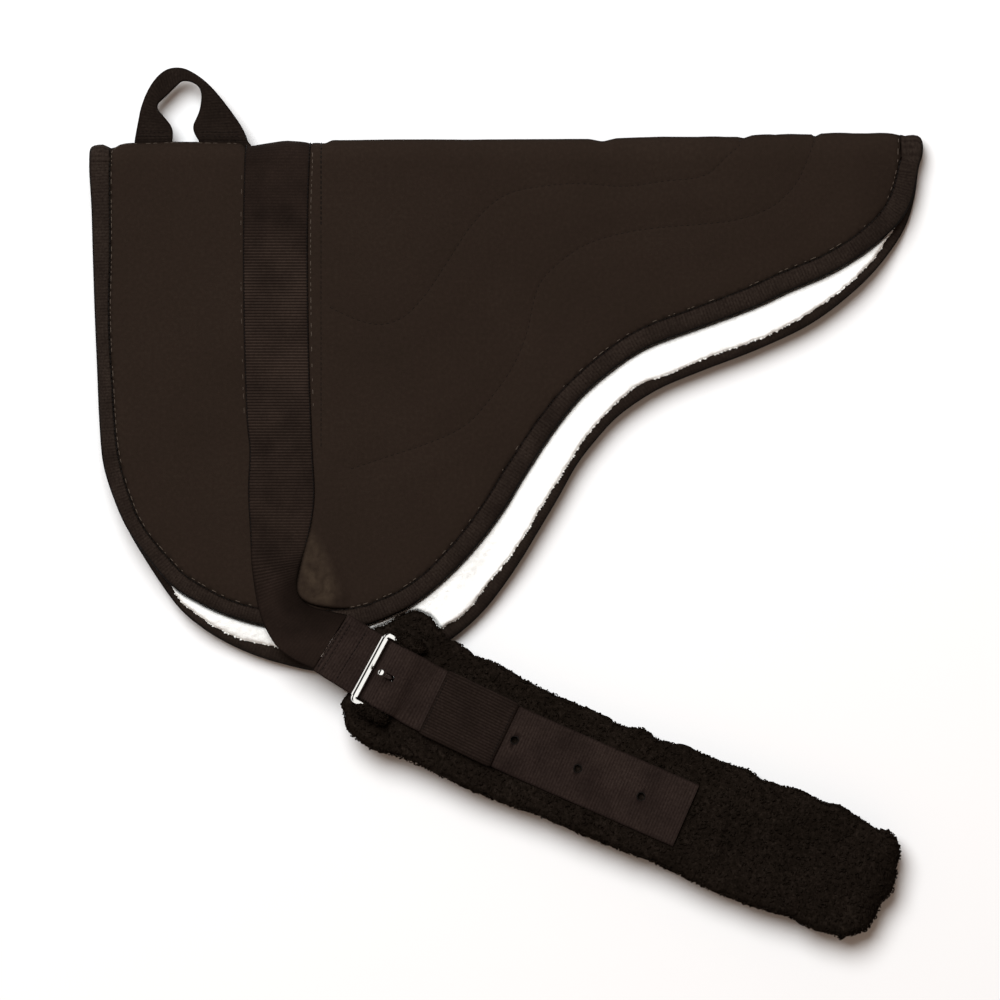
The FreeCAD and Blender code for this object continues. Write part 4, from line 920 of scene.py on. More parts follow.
def relief(x, s, edge_dist=None):
    """Height of the shell cloth above its plain surface, in mm."""
    p = np.c_[x, s]
    near_s = np.where(s > S_MID, 2 * S_MID - s, s)
    y = np.minimum(near_s, YC)
    h = 0.34 * perlin(p, 70.0, 5) + 0.10 * perlin(p, 22.0, 6) + 0.035 * perlin(p, 7.0, 7)
    for q in quilts:
        d, arc = dist_to(p, q, True)
        near = d < 26
        g = -0.34 * np.exp(-(d / 1.2) ** 2) - 0.42 * np.exp(-(d / 9.0) ** 2) + 0.28 * np.exp(-((d - 18) / 9) ** 2)
        pk = 0.10 * np.sin(arc * 2 * math.pi / 6.4 + 2.2 * perlin(p, 14.0, 8)) * np.exp(-(d / 4.5) ** 2)
        h = h + np.where(near, g + pk, 0)
    xl, xr = strap_x(y, -1), strap_x(y, 1)
    on_far = s > S_MID
    xl = np.where(on_far, -194.2, xl)
    xr = np.where(on_far, -144.2, xr)
    dl, dr = xl - x, x - xr
    d = np.maximum(dl, dr)                      # distance outside the strap
    h = h - 0.55 * np.exp(-(np.maximum(d, 0) / 5.5) ** 2)
    if edge_dist is not None:
        h = h - 0.85 * np.exp(-(edge_dist / 5.5) ** 2) + 0.30 * np.exp(-((edge_dist - 15) / 9) ** 2)
    # the row of topstitching beside the strap, near the crest
    ts = np.abs(x - TOPSTITCH_X)
    fade = ramp(near_s, 60, 190)
    h = h - fade * (0.40 * np.exp(-(ts / 1.0) ** 2) + 0.20 * np.exp(-(ts / 4.0) ** 2))
    h = np.where((d < 1.5), np.minimum(h, -0.35), h)
    return h


def cloth_point(x, s, h, top=None):
    """Where a point of cloth (x, s) at height h lies on the folded pad."""
    k = (crest_y(x) - YC) / R if top is None else top(x)
    a = math.pi / 2 - (s - YC) / R
    r = R + h
    y = np.where(s <= YC, s, np.where(s >= S1, YC - (s - S1), YC + r * np.cos(a) * k))
    z = np.where(s <= YC, ZC + r, np.where(s >= S1, ZC - r, ZC + r * np.sin(a)))
    return np.c_[x, y, z]


def clip_x(poly, x0, keep_less):
    out = []
    m = len(poly)
    for i in range(m):
        a, b = poly[i], poly[(i + 1) % m]
        ia = (a[0] <= x0) == keep_less
        ib = (b[0] <= x0) == keep_less
        if ia:
            out.append(a)
        if ia != ib:
            t = (x0 - a[0]) / (b[0] - a[0])
            out.append(a + t * (b - a))
    return np.array(out)


cloth_edge = np.vstack([near_in, np.c_[far_in[:, 0], S1 + YC - far_in[:, 1]][::-1]])
cloth_open = [np.vstack([near_in]), np.c_[far_in[:, 0], S1 + YC - far_in[:, 1]]]
roll_side = [np.array([(near_in[0, 0], YC), (far_in[0, 0], S1)]),
             np.array([(near_in[-1, 0], YC), (far_in[-1, 0], S1)])]


def edge_distance(p):
    d = np.full(len(p), 1e9)
    for c in cloth_open + roll_side:
        d = np.minimum(d, dist_to(p, resample(c, 4.0) if len(c) > 2 else c))
    return d


def shell_panel(name, less, nodes, step):
    poly = clip_x(cloth_edge, SEAM_X, less)
    keep = [poly[0]]
    for q in poly[1:]:
        if np.linalg.norm(q - keep[-1]) > 2.0:
            keep.append(q)
    poly = np.array(keep)
    long = []
    m = len(poly)
    for i in range(m):
        a, b = poly[i], poly[(i + 1) % m]
        k = max(1, int(np.linalg.norm(b - a) / (step * 1.05)))
        long += [a + (b - a) * j / k for j in range(k)]
    poly = np.array(long)
    lines = [] if less else list(quilts) + [np.array([(TOPSTITCH_X, 150.0), (TOPSTITCH_X, 2 * S_MID - 150.0)])]
    p, t = fill(poly, step=step, lines=lines, near_step=1.0, near_width=6.0)
    ed = edge_distance(p)
    h = relief(p[:, 0], p[:, 1], ed)
    out = cloth_point(p[:, 0], p[:, 1], h)
    inn = cloth_point(p[:, 0], p[:, 1], h - 1.2)
    v, f = slab(p, t, out, inn)
    flat = np.c_[p, np.zeros(len(p))]
    # painted shade: the cloth is painted darker right beside the tape, for the shadow gap and dark seam line at its
    # edge, and in a narrow band along the crest of the fold
    fold = 0.4 * (1 - ramp(np.abs(p[:, 1] - S_MID), 2.5, 7.0))
    both = {"flat": flat, "seam_and_painted_shade": np.maximum(0.7 * (1 - ramp(ed, 2.6, 4.4)), fold)}
    ob = mesh_piece(name, settle(v), f, [SHELL], {k_: np.concatenate([a_, a_]) for k_, a_ in both.items()})
    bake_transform(ob)
    finish_piece(ob, None, nodes)
    return ob


front_shell = shell_panel("front_shell_panel", True, ("near_front_shell", "spine_front_shell", "far_front_shell"), 3.4)
rear_shell = shell_panel("rear_shell_panel", False, ("near_rear_shell", "spine_rear_shell", "far_rear_shell"), 3.4)


# ---------------------------------------------------------------- edge binding
def binding_section():
    """(inwards from the edge, out of the shell side) round the folded tape. The last six
    millimetres of each side are measured back from its inner edge, at 15.4."""
    return np.array([(15.3, 5.5), (15.4, 6.15), (15.2, 6.6), (14.7, 6.85), (13.6, 7.0), (11.6, 7.1), (9.4, 7.1),
                     (6.3, 6.85), (3.6, 6.25), (1.7, 5.1), (0.6, 3.4), (0.12, 1.5), (0.0, -0.6), (0.45, -2.6), (1.6, -4.4),
                     (3.8, -5.9), (7.0, -6.85), (10.5, -7.05), (13.6, -7.0), (14.8, -6.7), (14.9, -6.0)])


def binding_rings(path, out, nrm, s0, width=15.4, seed=0, kz=1.0):
    sec = binding_section()
    n = len(path)
    s = arc_of(path) + s0
    pitch = 2.35
    rib = np.abs(np.sin(np.pi * s / pitch)) ** 0.8
    wob = 0.22 * perlin(np.c_[s, s * 0], 16.0, 21 + seed) + 0.16 * perlin(np.c_[s, s * 0], 5.0, 22 + seed)
    thick = 0.28 * perlin(np.c_[s, s * 0], 28.0, 23 + seed) + 0.12 * perlin(np.c_[s, s * 0], 6.0, 24 + seed)
    more = np.broadcast_to(np.asarray(width, float), (n,)) - 15.4
    d = sec[None, :, 0] + more[:, None] * ramp(sec[None, :, 0], 1.0, 11.0)
    d = d + wob[:, None] * (sec[None, :, 0] / 15.0)
    sgn = np.sign(sec[None, :, 1])
    lift = (0.05 * (rib - 0.5) + thick)[:, None] * np.clip(np.abs(sec[None, :, 1]) / 7.0, 0, 1)
    zz = (sec[None, :, 1] + sgn * lift) * kz
    ring = path[:, None] - out[:, None] * d[..., None] + nrm[:, None] * zz[..., None]
    side = (0.05 * (rib - 0.5))[:, None] * np.clip(1 - sec[None, :, 0] / 3.0, 0, 1)
    ring = ring + out[:, None] * side[..., None]
    k = sec.shape[0]
    run = np.r_[0, np.cumsum(np.linalg.norm(np.diff(sec, axis=0), axis=1))]
    rib_out = rib[:, None] * (0.4 + 0.6 * ramp(sec[None, :, 0], 0.2, 2.4))
    # painted shade: a dashed dark line along the inner edge stands for the shadow gap and the dark stitched join there,
    # and the outer fold of the tape is painted dark as shade
    line = np.clip(0.85 + 0.5 * perlin(np.c_[s, s * 0], 3.2, 25 + seed), 0.3, 1.0)
    seam_and_painted_shade = (line[:, None] * ramp(sec[None, :, 0], 14.0, 14.7) + np.broadcast_to(0.95 * (1 - ramp(sec[None, :, 0], 0.55, 1.65)), (n, k)))
    weave = np.stack([np.broadcast_to(run[None], (n, k)), np.broadcast_to(s[:, None], (n, k)), seam_and_painted_shade], -1)
    return ring, rib_out, weave


def flat_path(c, z):
    t = tangents(c)
    nl = left_of(t)                      # inwards, because the outlines run anticlockwise seen from above
    return np.c_[c, np.full(len(c), z)], np.c_[-nl, np.zeros(len(c))]


def binding_piece(name, parts, body, nodes):
    vs, fs, ribs, weaves, o = [], [], [], [], 0
    for ring, rib, weave, flip in parts:
        v, f = tube(ring, True, flip)
        k = len(v) - ring.shape[0] * ring.shape[1]
        vs.append(v)
        fs += [x + o for x in f]
        ribs.append(np.r_[rib.ravel(), np.full(k, 0.5)])
        weaves.append(np.vstack([weave.reshape(-1, 3), np.zeros((k, 3))]))
        o += len(v)
    wv_ = np.vstack(weaves)
    # the painted shade and dark join line of the rings, kept apart from the weave
    seam_and_painted_shade = wv_[:, 2].copy()
    wv_[:, 2] = 0
    ob = mesh_piece(name, settle(np.vstack(vs)), fs, [TAPE],
                    {"rib": np.concatenate(ribs), "weave": wv_, "seam_and_painted_shade": seam_and_painted_shade}, sharp=60)
    return finish_piece(ob, body, nodes)


np_path = resample(near_path, 0.62)
fp_path = resample(far_path, 0.62)
NP, NO = flat_path(np_path, 26.65)
FP, FO = flat_path(fp_path, 10.95)
NO *= outwards(np_path)
FO *= outwards(fp_path)
up = np.array([0.0, 0.0, 1.0])
NW = np.interp(arc_of(np_path), arc_of(near_path), near_w)
rN = binding_rings(NP, NO, np.broadcast_to(up, NP.shape), 0.0, NW, seed=0)
rF = binding_rings(FP, FO, np.broadcast_to(-up, FP.shape), 0.0, seed=4)
near_binding = binding_piece("near_binding_tape", [(*rN, False)], "near_half", ("near_edge_binding",))
far_binding = binding_piece("far_binding_tape", [(*rF, True)], "far_half", ("far_edge_binding",))

for nm, x, out, node, wn, sd in (("front_crest_binding", -312.2, -1.0, "spine_binding_front", NW[0], 7),
                                 ("rear_crest_binding", REAR_X, 1.0, "spine_binding_rear", NW[-1], 9)):
    a = np.linspace(math.pi / 2, -math.pi / 2, 46)
    rr = 7.85
    pth = np.c_[np.full(46, x), YC + rr * np.cos(a), ZC + rr * np.sin(a)]
    nr = np.c_[np.zeros(46), np.cos(a), np.sin(a)]
    oo = np.broadcast_to(np.array([out, 0, 0]), pth.shape)
    ring, rib, weave = binding_rings(pth, oo, nr, 0.0, 15.4 + (wn - 15.4) * (0.5 + a / math.pi), seed=sd)
    # the tape pulls round the corner of the fold: the crest line says how far out it reaches
    ky = (crest_y(np.clip(ring[..., 0], -305.6, 305.5)) - YC) / 14.95
    bulge = np.sin(np.clip((ring[..., 1] - YC) / 8.0, 0, 1) * math.pi / 2)
    ring[..., 1] = YC + (ring[..., 1] - YC) * (1 + (ky - 1) * bulge)
    # at the tail the corner of the fold reaches out a little further
    if out > 0:
        ring[..., 0] += 2.4 * bulge * ramp(ring[..., 0], REAR_X - 14.0, REAR_X)
    binding_piece(nm, [(ring, rib, weave, out < 0)], "spine", (node,))


# ---------------------------------------------------------------- strap over the spine
def rows_y(y0, y1, step):
    return np.arange(y0, y1, -step) if y1 < y0 else np.arange(y0, y1, step)


RIB = 2.22
dy = RIB / 5.0
SPLIT_Y = STRAP_LEFT[-1][1]
# far part, from its end under the pad up to the fold
sf = np.arange(-106.5, YC, dy)
L, Rr, U = [], [], []
RS = 15.5
for y in sf:
    L.append((-194.4, y, ZC - RS))
    Rr.append((-144.6, y, ZC - RS))
    U.append((0, 0, -1))
na = int(math.pi * RS / dy)
for i in range(na):
    a = -math.pi / 2 + math.pi * (i + 0.5) / na
    f = (a + math.pi / 2) / math.pi
    xl = -194.4 + f * (strap_x(YC, -1) + 194.4)
    xr = -144.6 + f * (strap_x(YC, 1) + 144.6)
    kl = (crest_y(xl, strap_crest) - YC) / 16.6
    kr = (crest_y(xr, strap_crest) - YC) / 16.6
    L.append((xl, YC + RS * math.cos(a) * kl, ZC + RS * math.sin(a)))
    Rr.append((xr, YC + RS * math.cos(a) * kr, ZC + RS * math.sin(a)))
    U.append((0, math.cos(a), math.sin(a)))
ny = int(round((YC - SPLIT_Y) / dy))
for y in np.linspace(YC, SPLIT_Y, ny):
    L.append((strap_x(y, -1), y, ZC + RS))
    Rr.append((strap_x(y, 1), y, ZC + RS))
    U.append((0, 0, 1))
L, Rr, U = np.array(L), np.array(Rr), np.array(U, float)
quiet = 0.84 - 0.66 * (ramp(L[:, 1], 170, 235) * (U[:, 2] > -0.2))
quiet = quiet - 0.28 * ramp(80.0 - L[:, 1], 0.0, 90.0) * (U[:, 2] > 0.5)
still = 0.16 * ramp(L[:, 1] - SPLIT_Y, 2.0, 30.0) + 0.0 * L[:, 0]
still = np.where(U[:, 2] < 0, 0.16, still)
v, f, rib, weave = ribbon(Rr, L, U, 1.9, RIB, 0.17, 16, wave=still, tuck=0.85, fade=quiet)
# over the crest the strap is fullest in the middle
over = v[:, 1] > YC
lin = np.interp(v[:, 0], [-194.4, -144.6], [crest_y(-194.4, strap_crest), crest_y(-144.6, strap_crest)])
full = (crest_y(v[:, 0], strap_crest) - YC) / (lin - YC)
v[over, 1] = YC + (v[over, 1] - YC) * full[over]
# painted shade: the top of the strap darkens a little towards its turned end, meeting the painted shade of the turn
dusk = 0.08 * ramp(SPLIT_Y + 62.0 - v[:, 1], 0.0, 58.0) * (v[:, 2] > ZC)
strap = mesh_piece("sewn_strap", v, f, [WEB], {"rib": rib, "weave": weave, "seam_and_painted_shade": dusk}, sharp=60)
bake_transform(strap)
finish_piece(strap, None, ("near_strap", "spine_strap", "far_strap"))

tl = smooth_line(TURN_LEFT, 0.5, sigma=2.0)
tr = smooth_line(TURN_RIGHT, 0.5, sigma=2.0)
tl[0], tr[0] = (strap_x(SPLIT_Y, -1), SPLIT_Y), (strap_x(SPLIT_Y, 1), SPLIT_Y)
nt = int((arc_of(tl)[-1] + arc_of(tr)[-1]) / 2 / dy)
tl, tr = resample(tl, n=nt), resample(tr, n=nt)
down = np.linspace(0, 1, nt)
zt = ZC + RS + 0.1 * ramp(down, 0.1, 0.5)
tl3 = np.c_[tl, np.broadcast_to(zt, (nt,))]
tr3 = np.c_[tr, np.broadcast_to(zt, (nt,))]
s_end = arc_of((L + Rr) / 2)[-1]
v, f, rib, weave2 = ribbon(tr3, tl3, (0, 0, 1), 1.9, RIB, 0.17, 16, s0=s_end, wave=0.5 * ramp(down, 0.05, 0.4), seed=12,
                           tuck=0.85 - 0.6 * ramp(down, 0.25, 0.5), fade=0.56 - 0.42 * ramp(down, 0.12, 0.5))
# it is in the shade of the slack cloth beside it
shade = ramp(dist_to(v[:, :2], smooth_line(np.array(PLEAT)[:10], 1.0, sigma=1.5)), 1.0, 21.0)
shade = 0.08 + 0.5 * (1 - shade) * ramp(SPLIT_Y - 3.0 - v[:, 1], 0.0, 26.0)
turn = mesh_piece("strap_turned_tail", v, f, [WEB], {"rib": rib, "weave": weave2, "seam_and_painted_shade": shade}, sharp=60)
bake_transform(turn)
finish_piece(turn, None, ("near_strap_turn", "near_strap_tail"))


# ---------------------------------------------------------------- foam, and the lining round the fold
def foam_slab(name, edge, body, node, far):
    """Foam between the shell and the lining of one half, following the quilting."""
    c = trimmed(inset(edge, 14.2))
    top = np.c_[np.linspace(c[-1, 0], c[0, 0], 90)[1:-1], np.full(88, YC)]
    poly = resample(np.vstack([c, top, c[:1]]), 6.0)[:-1]
    p, t = fill(poly, step=6.0)
    s = (S1 + YC - p[:, 1]) if far else p[:, 1]
    h = np.minimum(relief(p[:, 0], s, np.full(len(p), 8.0)) - 1.75, -1.5)
    a_ = cloth_point(p[:, 0], s, h)
    b_ = cloth_point(p[:, 0], s, np.full(len(p), -7.2))
    v, f = slab(p, t, b_, a_) if far else slab(p, t, a_, b_)
    ob = mesh_piece(name, settle(v), f, [FOAM])
    return finish_piece(ob, body, (node,))


def fold_roll(name, h_out, h_in, mat, node):
    """A layer of the pad where it goes round the fold."""
    xs = np.linspace(-297.0, 296.0, 150)
    ss = np.linspace(YC + 0.2, S1 - 0.2, 22)
    rings = []
    for x in xs:
        o_ = cloth_point(np.full(22, x), ss, np.full(22, h_out))
        i_ = cloth_point(np.full(22, x), ss[::-1], np.full(22, h_in))
        rings.append(np.vstack([o_, i_]))
    v, f = tube(rings, True)
    ob = mesh_piece(name, settle(v), f, [mat], sharp=60)
    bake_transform(ob)
    return finish_piece(ob, None, (node,))


foam_slab("near_foam_slab", near_path, "near_half", "near_foam_core", False)
foam_slab("far_foam_slab", far_path, "far_half", "far_foam_core", True)
fold_roll("fold_foam", -2.6, -7.3, FOAM, "spine_foam")
fold_roll("fold_lining", -7.4, -13.6, WHITE, "spine_lining")

# ---------------------------------------------------------------- white fleece lining
def near_cover(p):
    """Distance outside the near half's outline, 0 under it."""
    return np.where(inside(p, near_path), 0.0, dist_to(p, near_path))


def fleece_region(edge, inset_by, seed, shown=None):
    """Outline of a lining inside the pad's edge. shown replaces the stretch that can be seen."""
    c = inset(edge, inset_by)
    c = resample(c[c[:, 1] < YC - 0.3], 1.1)
    if shown is not None:
        i0 = ((c - shown[0]) ** 2).sum(1).argmin()
        i1 = ((c - shown[-1]) ** 2).sum(1).argmin()
        c = np.vstack([c[:max(i0 - 8, 1)], shown[4:-4], c[min(i1 + 8, len(c) - 1):]])
        c = smooth_line(resample(c, 2.2), 1.1, sigma=1.2)
    s = arc_of(c)
    q = np.c_[s, s * 0]
    nn = left_of(tangents(c)) * outwards(edge)
    c = c - nn * (0.55 * perlin(q, 6.0, seed) + 0.45 * perlin(q, 2.4, seed + 1))[:, None]
    c = np.vstack([[(c[0, 0], YC)], c, [(c[-1, 0], YC)]])
    k = int((c[0, 0] - c[-1, 0]) / -2.2)
    top = np.c_[np.linspace(c[-1, 0], c[0, 0], k + 1)[1:-1], np.full(k - 1, YC)]
    return np.vstack([c, top]), c


def two_grids(poly, coarse, fine, where_fine):
    """Points over a region, closer together where where_fine says."""
    pts = []
    for st, sel in ((coarse, False), (fine, True)):
        lo, hi = poly.min(0), poly.max(0)
        h = st * math.sqrt(3) / 2
        ys = np.arange(lo[1] + h / 2, hi[1], h)
        g = np.vstack([np.c_[np.arange(lo[0] + (st / 2 if i % 2 else 0), hi[0], st),
                             np.full(len(np.arange(lo[0] + (st / 2 if i % 2 else 0), hi[0], st)), y)]
                       for i, y in enumerate(ys)])
        g = g[inside(g, poly)]
        g = g[where_fine(g) == sel]
        pts.append(g)
    p = np.vstack(pts)
    closed = np.vstack([poly, poly[:1]])
    return p[dist_to(p, closed) > 0.6]


def triangulate(poly, pts):
    verts = [Vector((float(a), float(b))) for a, b in np.vstack([poly, pts])]
    out = delaunay_2d_cdt(verts, [], [list(range(len(poly)))], 1, 1e-7)
    p = np.array([(a[0], a[1]) for a in out[0]])
    t = np.array([f for f in out[2] if len(f) == 3], np.int64)
    t = t[inside(p[t].mean(1), poly)]
    e1 = p[t[:, 1]] - p[t[:, 0]]
    e2 = p[t[:, 2]] - p[t[:, 0]]
    cw = (e1[:, 0] * e2[:, 1] - e1[:, 1] * e2[:, 0]) < 0
    t[cw] = t[cw][:, ::-1]
    return p, t


def pile(p, seed, clump=4.2):
    """Height of a fleece pile, 0 at the tips and below that between the locks."""
    w = np.c_[perlin(p, 9.0, seed + 5), perlin(p + 40, 9.0, seed + 6)] * 2.0
    c1 = cells(p + w, clump, seed)
    c2 = cells(p, clump * 0.45, seed + 1)
    return -0.95 * np.clip(c1, 0, 1) - 0.30 * np.clip(c2, 0, 1) + 0.45 * perlin(p, 26.0, seed + 2)


def lining_piece(name, edge, inset_by, shown, body, node, face_z, back_z, facing_up, fine_zone, seed):
    poly, rim = fleece_region(edge, inset_by, seed, shown)
    pts = two_grids(poly, 3.3, 1.2, fine_zone)
    p, t = triangulate(poly, pts)
    d = dist_to(p, resample(rim, 1.1))
    h = pile(p, seed) + 0.95
    roll = np.sqrt(np.clip(1 - (1 - np.clip(d / 2.6, 0, 1)) ** 2, 0, 1))
    sgn = 1.0 if facing_up else -1.0
    z = face_z + sgn * (h * 0.8 - 0.55) * roll - sgn * (1 - roll) * 1.5
    if facing_up:
        # free of the half above it, the pile stands higher
        g_ = np.array(GIRTH)
        clear = np.where(inside(p, g_), 0.0, dist_to(p, np.vstack([g_, g_[:1]])))
        cov = near_cover(p)
        level = 2.3 * ramp(-16.0 - p[:, 0], 0.0, 24.0) * (p[:, 0] > -120)
        z = z + (6.2 * ramp(cov, 0.0, 1.6) - (3.2 - level) * ramp(cov, 3.5, 15.0)) * (0.3 + 0.7 * roll) * ramp(clear, 0.2, 3.0)
    face = np.c_[p, z]
    back = np.c_[p, np.full(len(p), back_z)]
    v, f = slab(p, t, face, back) if facing_up else slab(p, t, back, face)
    ob = mesh_piece(name, settle(v), f, [WHITE])
    finish_piece(ob, body, (node,))
    return rim


def far_fine(g):
    near = ~inside(g, near_path) | (dist_to(g, near_path) < 4.0)
    return near & (g[:, 1] < 235)


far_rim = lining_piece("far_fleece_pile", far_path, 8.0, smooth_line(FLEECE_EDGE, 1.1, sigma=1.5), "far_half",
                       "far_fleece_lining", 18.35, 11.7, True, far_fine, 31)
near_rim = lining_piece("near_fleece_pile", near_path, 13.2, None, "near_half", "near_fleece_lining", 19.3, 25.9, False,
                        lambda g: np.zeros(len(g), bool), 37)


def tuft(base, direction, length, fat, bend, sides=5):
    """One lock of fleece: a short tapered bent cone."""
    k = 4
    t = np.linspace(0, 1, k)
    d = direction / np.linalg.norm(direction)
    side = np.cross(d, (0.13, 0.31, 0.94))
    side /= np.linalg.norm(side)
    other = np.cross(d, side)
    p = base + d * (t * length)[:, None] + bend * (t ** 2)[:, None]
    r = fat * np.array([0.75, 1.0, 0.75, 0.16])
    a = np.arange(sides) / sides * 2 * math.pi
    ring = p[:, None] + (side[None, None] * np.cos(a)[None, :, None]
                         + other[None, None] * np.sin(a)[None, :, None]) * r[:, None, None]
    return tube(ring)


def edge_tufts(name, rim, body, z, seed, every=0.8, up_sign=1.0, raised=False):
    rs = np.random.RandomState(seed)
    c = resample(rim, every)
    nn = -left_of(tangents(c)) * outwards(far_path)
    puff = 0.9 * ramp(near_cover(c), 0.4, 4.0) if raised else np.zeros(len(c))
    parts = []
    for i in range(1, len(c) - 1):
        if c[i, 1] > YC - 4:
            continue
        out = np.array([nn[i, 0], nn[i, 1], 0.0])
        along = np.array([-nn[i, 1], nn[i, 0], 0.0])
        d = out * rs.uniform(0.3, 1.0) + along * rs.uniform(-1.0, 1.0) + np.array([0, 0, up_sign * rs.uniform(-0.1, 0.5)])
        base = np.array([c[i, 0], c[i, 1], z + puff[i] + up_sign * rs.uniform(-0.6, 0.5)]) - out * rs.uniform(0.3, 2.4)
        bend = along * rs.uniform(-0.5, 0.5) + np.array([0, 0, -up_sign * rs.uniform(0.0, 0.3)])
        parts.append(tuft(base, d, rs.uniform(0.9, 1.9), rs.uniform(0.45, 0.85), bend))
    v, f = join_parts(parts)
    ob = mesh_piece(name, settle(v), f, [WHITE])
    return finish_piece(ob, body)


edge_tufts("far_fleece_edge_locks", far_rim, "far_half", 17.7, 5, 0.6, raised=True)
edge_tufts("near_fleece_edge_locks", near_rim, "near_half", 19.3, 6, 1.6, -1.0)


# ---------------------------------------------------------------- grab handle
def keyed(pts, fine, keys, sigma):
    """The smooth line fine, and the place along it of each (fractional) index of pts."""
    c = smooth_line(np.vstack([pts[:1], [q for q in fine if q[1] > pts[0][1] + 1.0], pts[-1:]]), 0.4, sigma=sigma)
    acc = arc_of(c)
    p = np.asarray(pts, float)
    pos = []
    for q in p:
        pos.append(acc[np.linalg.norm(c - q, axis=1).argmin()])
    pos = np.array(pos)
    pos[0], pos[-1] = 0, acc[-1]
    kk = np.interp(keys, np.arange(len(p)), pos)
    return c, acc, kk


ho_c, ho_a, ho_k = keyed(HANDLE_OUT, HANDLE_OUT_FINE, np.arange(16), 1.6)
hi_c, hi_a, hi_k = keyed(HANDLE_IN, HANDLE_IN_FINE,
                         np.array([0, 1, 3.4, 5.0, 5.3, 6.1, 7, 7.8, 9, 10.2, 11.5, 12.8, 13.9, 15, 16, 17]), 1.2)
u = np.linspace(0, 15, 330)
so = np.interp(u, np.arange(16), ho_k)
si = np.interp(u, np.arange(16), hi_k)
k5 = np.ones(15) / 15
so[7:-7] = np.convolve(so, k5, "valid")
si[7:-7] = np.convolve(si, k5, "valid")
HO = np.stack([np.interp(so, ho_a, ho_c[:, j]) for j in (0, 1)], 1)
HI = np.stack([np.interp(si, hi_a, hi_c[:, j]) for j in (0, 1)], 1)
mid = (HO + HI) / 2
length = arc_of(mid)
lu = np.linspace(0, length[-1], int(length[-1] / 0.5))
uu = np.interp(lu, length, u)
HO = np.stack([np.interp(uu, u, HO[:, j]) for j in (0, 1)], 1)
HI = np.stack([np.interp(uu, u, HI[:, j]) for j in (0, 1)], 1)
wide = np.linalg.norm(HO - HI, axis=1)
thick = 2.0 + 2.9 * ramp(-wide, -22, -11)
thick = np.convolve(np.pad(thick, 12, "edge"), np.ones(25) / 25, "valid")
zc = 18.8 + 0.0 * thick
foot = ramp(-(HO[:, 1] + HI[:, 1]) / 2, -272.5, -267.5)
zc = zc - 1.5 * foot
left3, right3 = np.c_[HO, zc], np.c_[HI, zc]
# the band is folded along its length in the grip, so it leans a little there
lean = 0.9 * ramp(-wide, -20, -12) * np.sin(lu / lu[-1] * math.pi)
left3[:, 2] -= lean
right3[:, 2] += lean * 0.6
v, f, rib, weave = ribbon(left3, right3, (0, 0, 1), thick, 2.2, 0.10, 14, wave=0.25, seed=17, edge_pow=5.0, fade=0.35)
# fold line of the doubled band
fold_c = (HO * 0.38 + HI * 0.62)
dd, ss = dist_to(v[:, :2], fold_c, True)
ff = np.interp(ss, arc_of(fold_c), ramp(-wide, -21, -13))
v[:, 2] += np.where(v[:, 2] > 18.8, -0.55, 0.0) * np.exp(-(dd / 0.9) ** 2) * ff
handle = mesh_piece("handle_webbing", v, f, [DARK_WEB], {"rib": rib, "weave": weave}, sharp=60)
finish_piece(handle, "handle", ("grab_handle",))
parts = []
for xa, xb, yy in ((-277.2, -252.6, 273.4), (-277.0, -252.4, 276.6), (-228.6, -199.2, 273.2), (-228.6, -200.6, 276.4)):
    pth = np.c_[np.linspace(xa, xb, 60), yy + 0.25 * np.sin(np.linspace(0, 7, 60)), np.full(60, 19.85)]
    parts += stitch_run(pth, (0, 0, 1), 2.2, 0.9, 0.26, 0.1)
v, f = join_parts(parts)
finish_piece(mesh_piece("handle_stitching", v, f, [THREAD]), "handle")


# ---------------------------------------------------------------- slack fold of shell cloth at the strap
pl = np.array(PLEAT)
lip = smooth_line(pl[:10], 1.0, sigma=1.5)
back = smooth_line(np.vstack([pl[9:], pl[:1]]), 1.0, sigma=2.0)
ppoly = resample(np.vstack([lip, back[1:-1], lip[:1]]), 1.0)[:-1]
pp, pt = fill(ppoly, step=1.15)
d1 = dist_to(pp, lip)
d2 = dist_to(pp, back)
_, arc_l = dist_to(pp, lip, True)
al = arc_l / arc_of(lip)[-1]
lip_h = 1.1 + 2.9 * ramp(al, 0.05, 0.45) * (1 - 0.25 * ramp(al, 0.8, 1.0))
rise = np.sqrt(np.clip(1 - (1 - np.clip(d1 / 3.6, 0, 1)) ** 2, 0, 1))
fade = ramp(d2, 0.0, 15.0)
hh = lip_h * (0.30 + 0.70 * rise) * fade
for line, depth, w in (([(-134.5, -57), (-136.0, -70), (-133.5, -80.5)], 0.85, 1.7),
                       ([(-145.0, -38), (-146.5, -55), (-150.5, -69)], 0.5, 1.8),
                       ([(-127.0, -62), (-125.0, -73), (-124.6, -80)], 0.55, 1.5),
                       ([(-140.0, -48), (-141.8, -62), (-142.0, -76)], 0.35, 1.3)):
    hh = hh - depth * np.exp(-(dist_to(pp, smooth_line(line, 1.0)) / w) ** 2) * fade
hh = hh + 0.22 * perlin(pp, 9.0, 61) * fade + 0.06 * perlin(pp, 2.5, 62)
topz = 33.05 + hh
topz = np.where(d2 < 0.8, np.minimum(topz, 32.7), topz)
v, f = slab(pp, pt, np.c_[pp, topz], np.c_[pp, np.full(len(pp), 32.4)])
# a paler streaky patch over the middle of the slack fold, away from its back and its lip
pale_patch = np.clip(ramp(d2, 7.5, 21.0) * (0.56 + 0.3 * perlin(pp, 12.0, 63) + 0.2 * perlin(pp, 2.6, 64)), 0, 1) * ramp(d1, 0.8, 4.0)
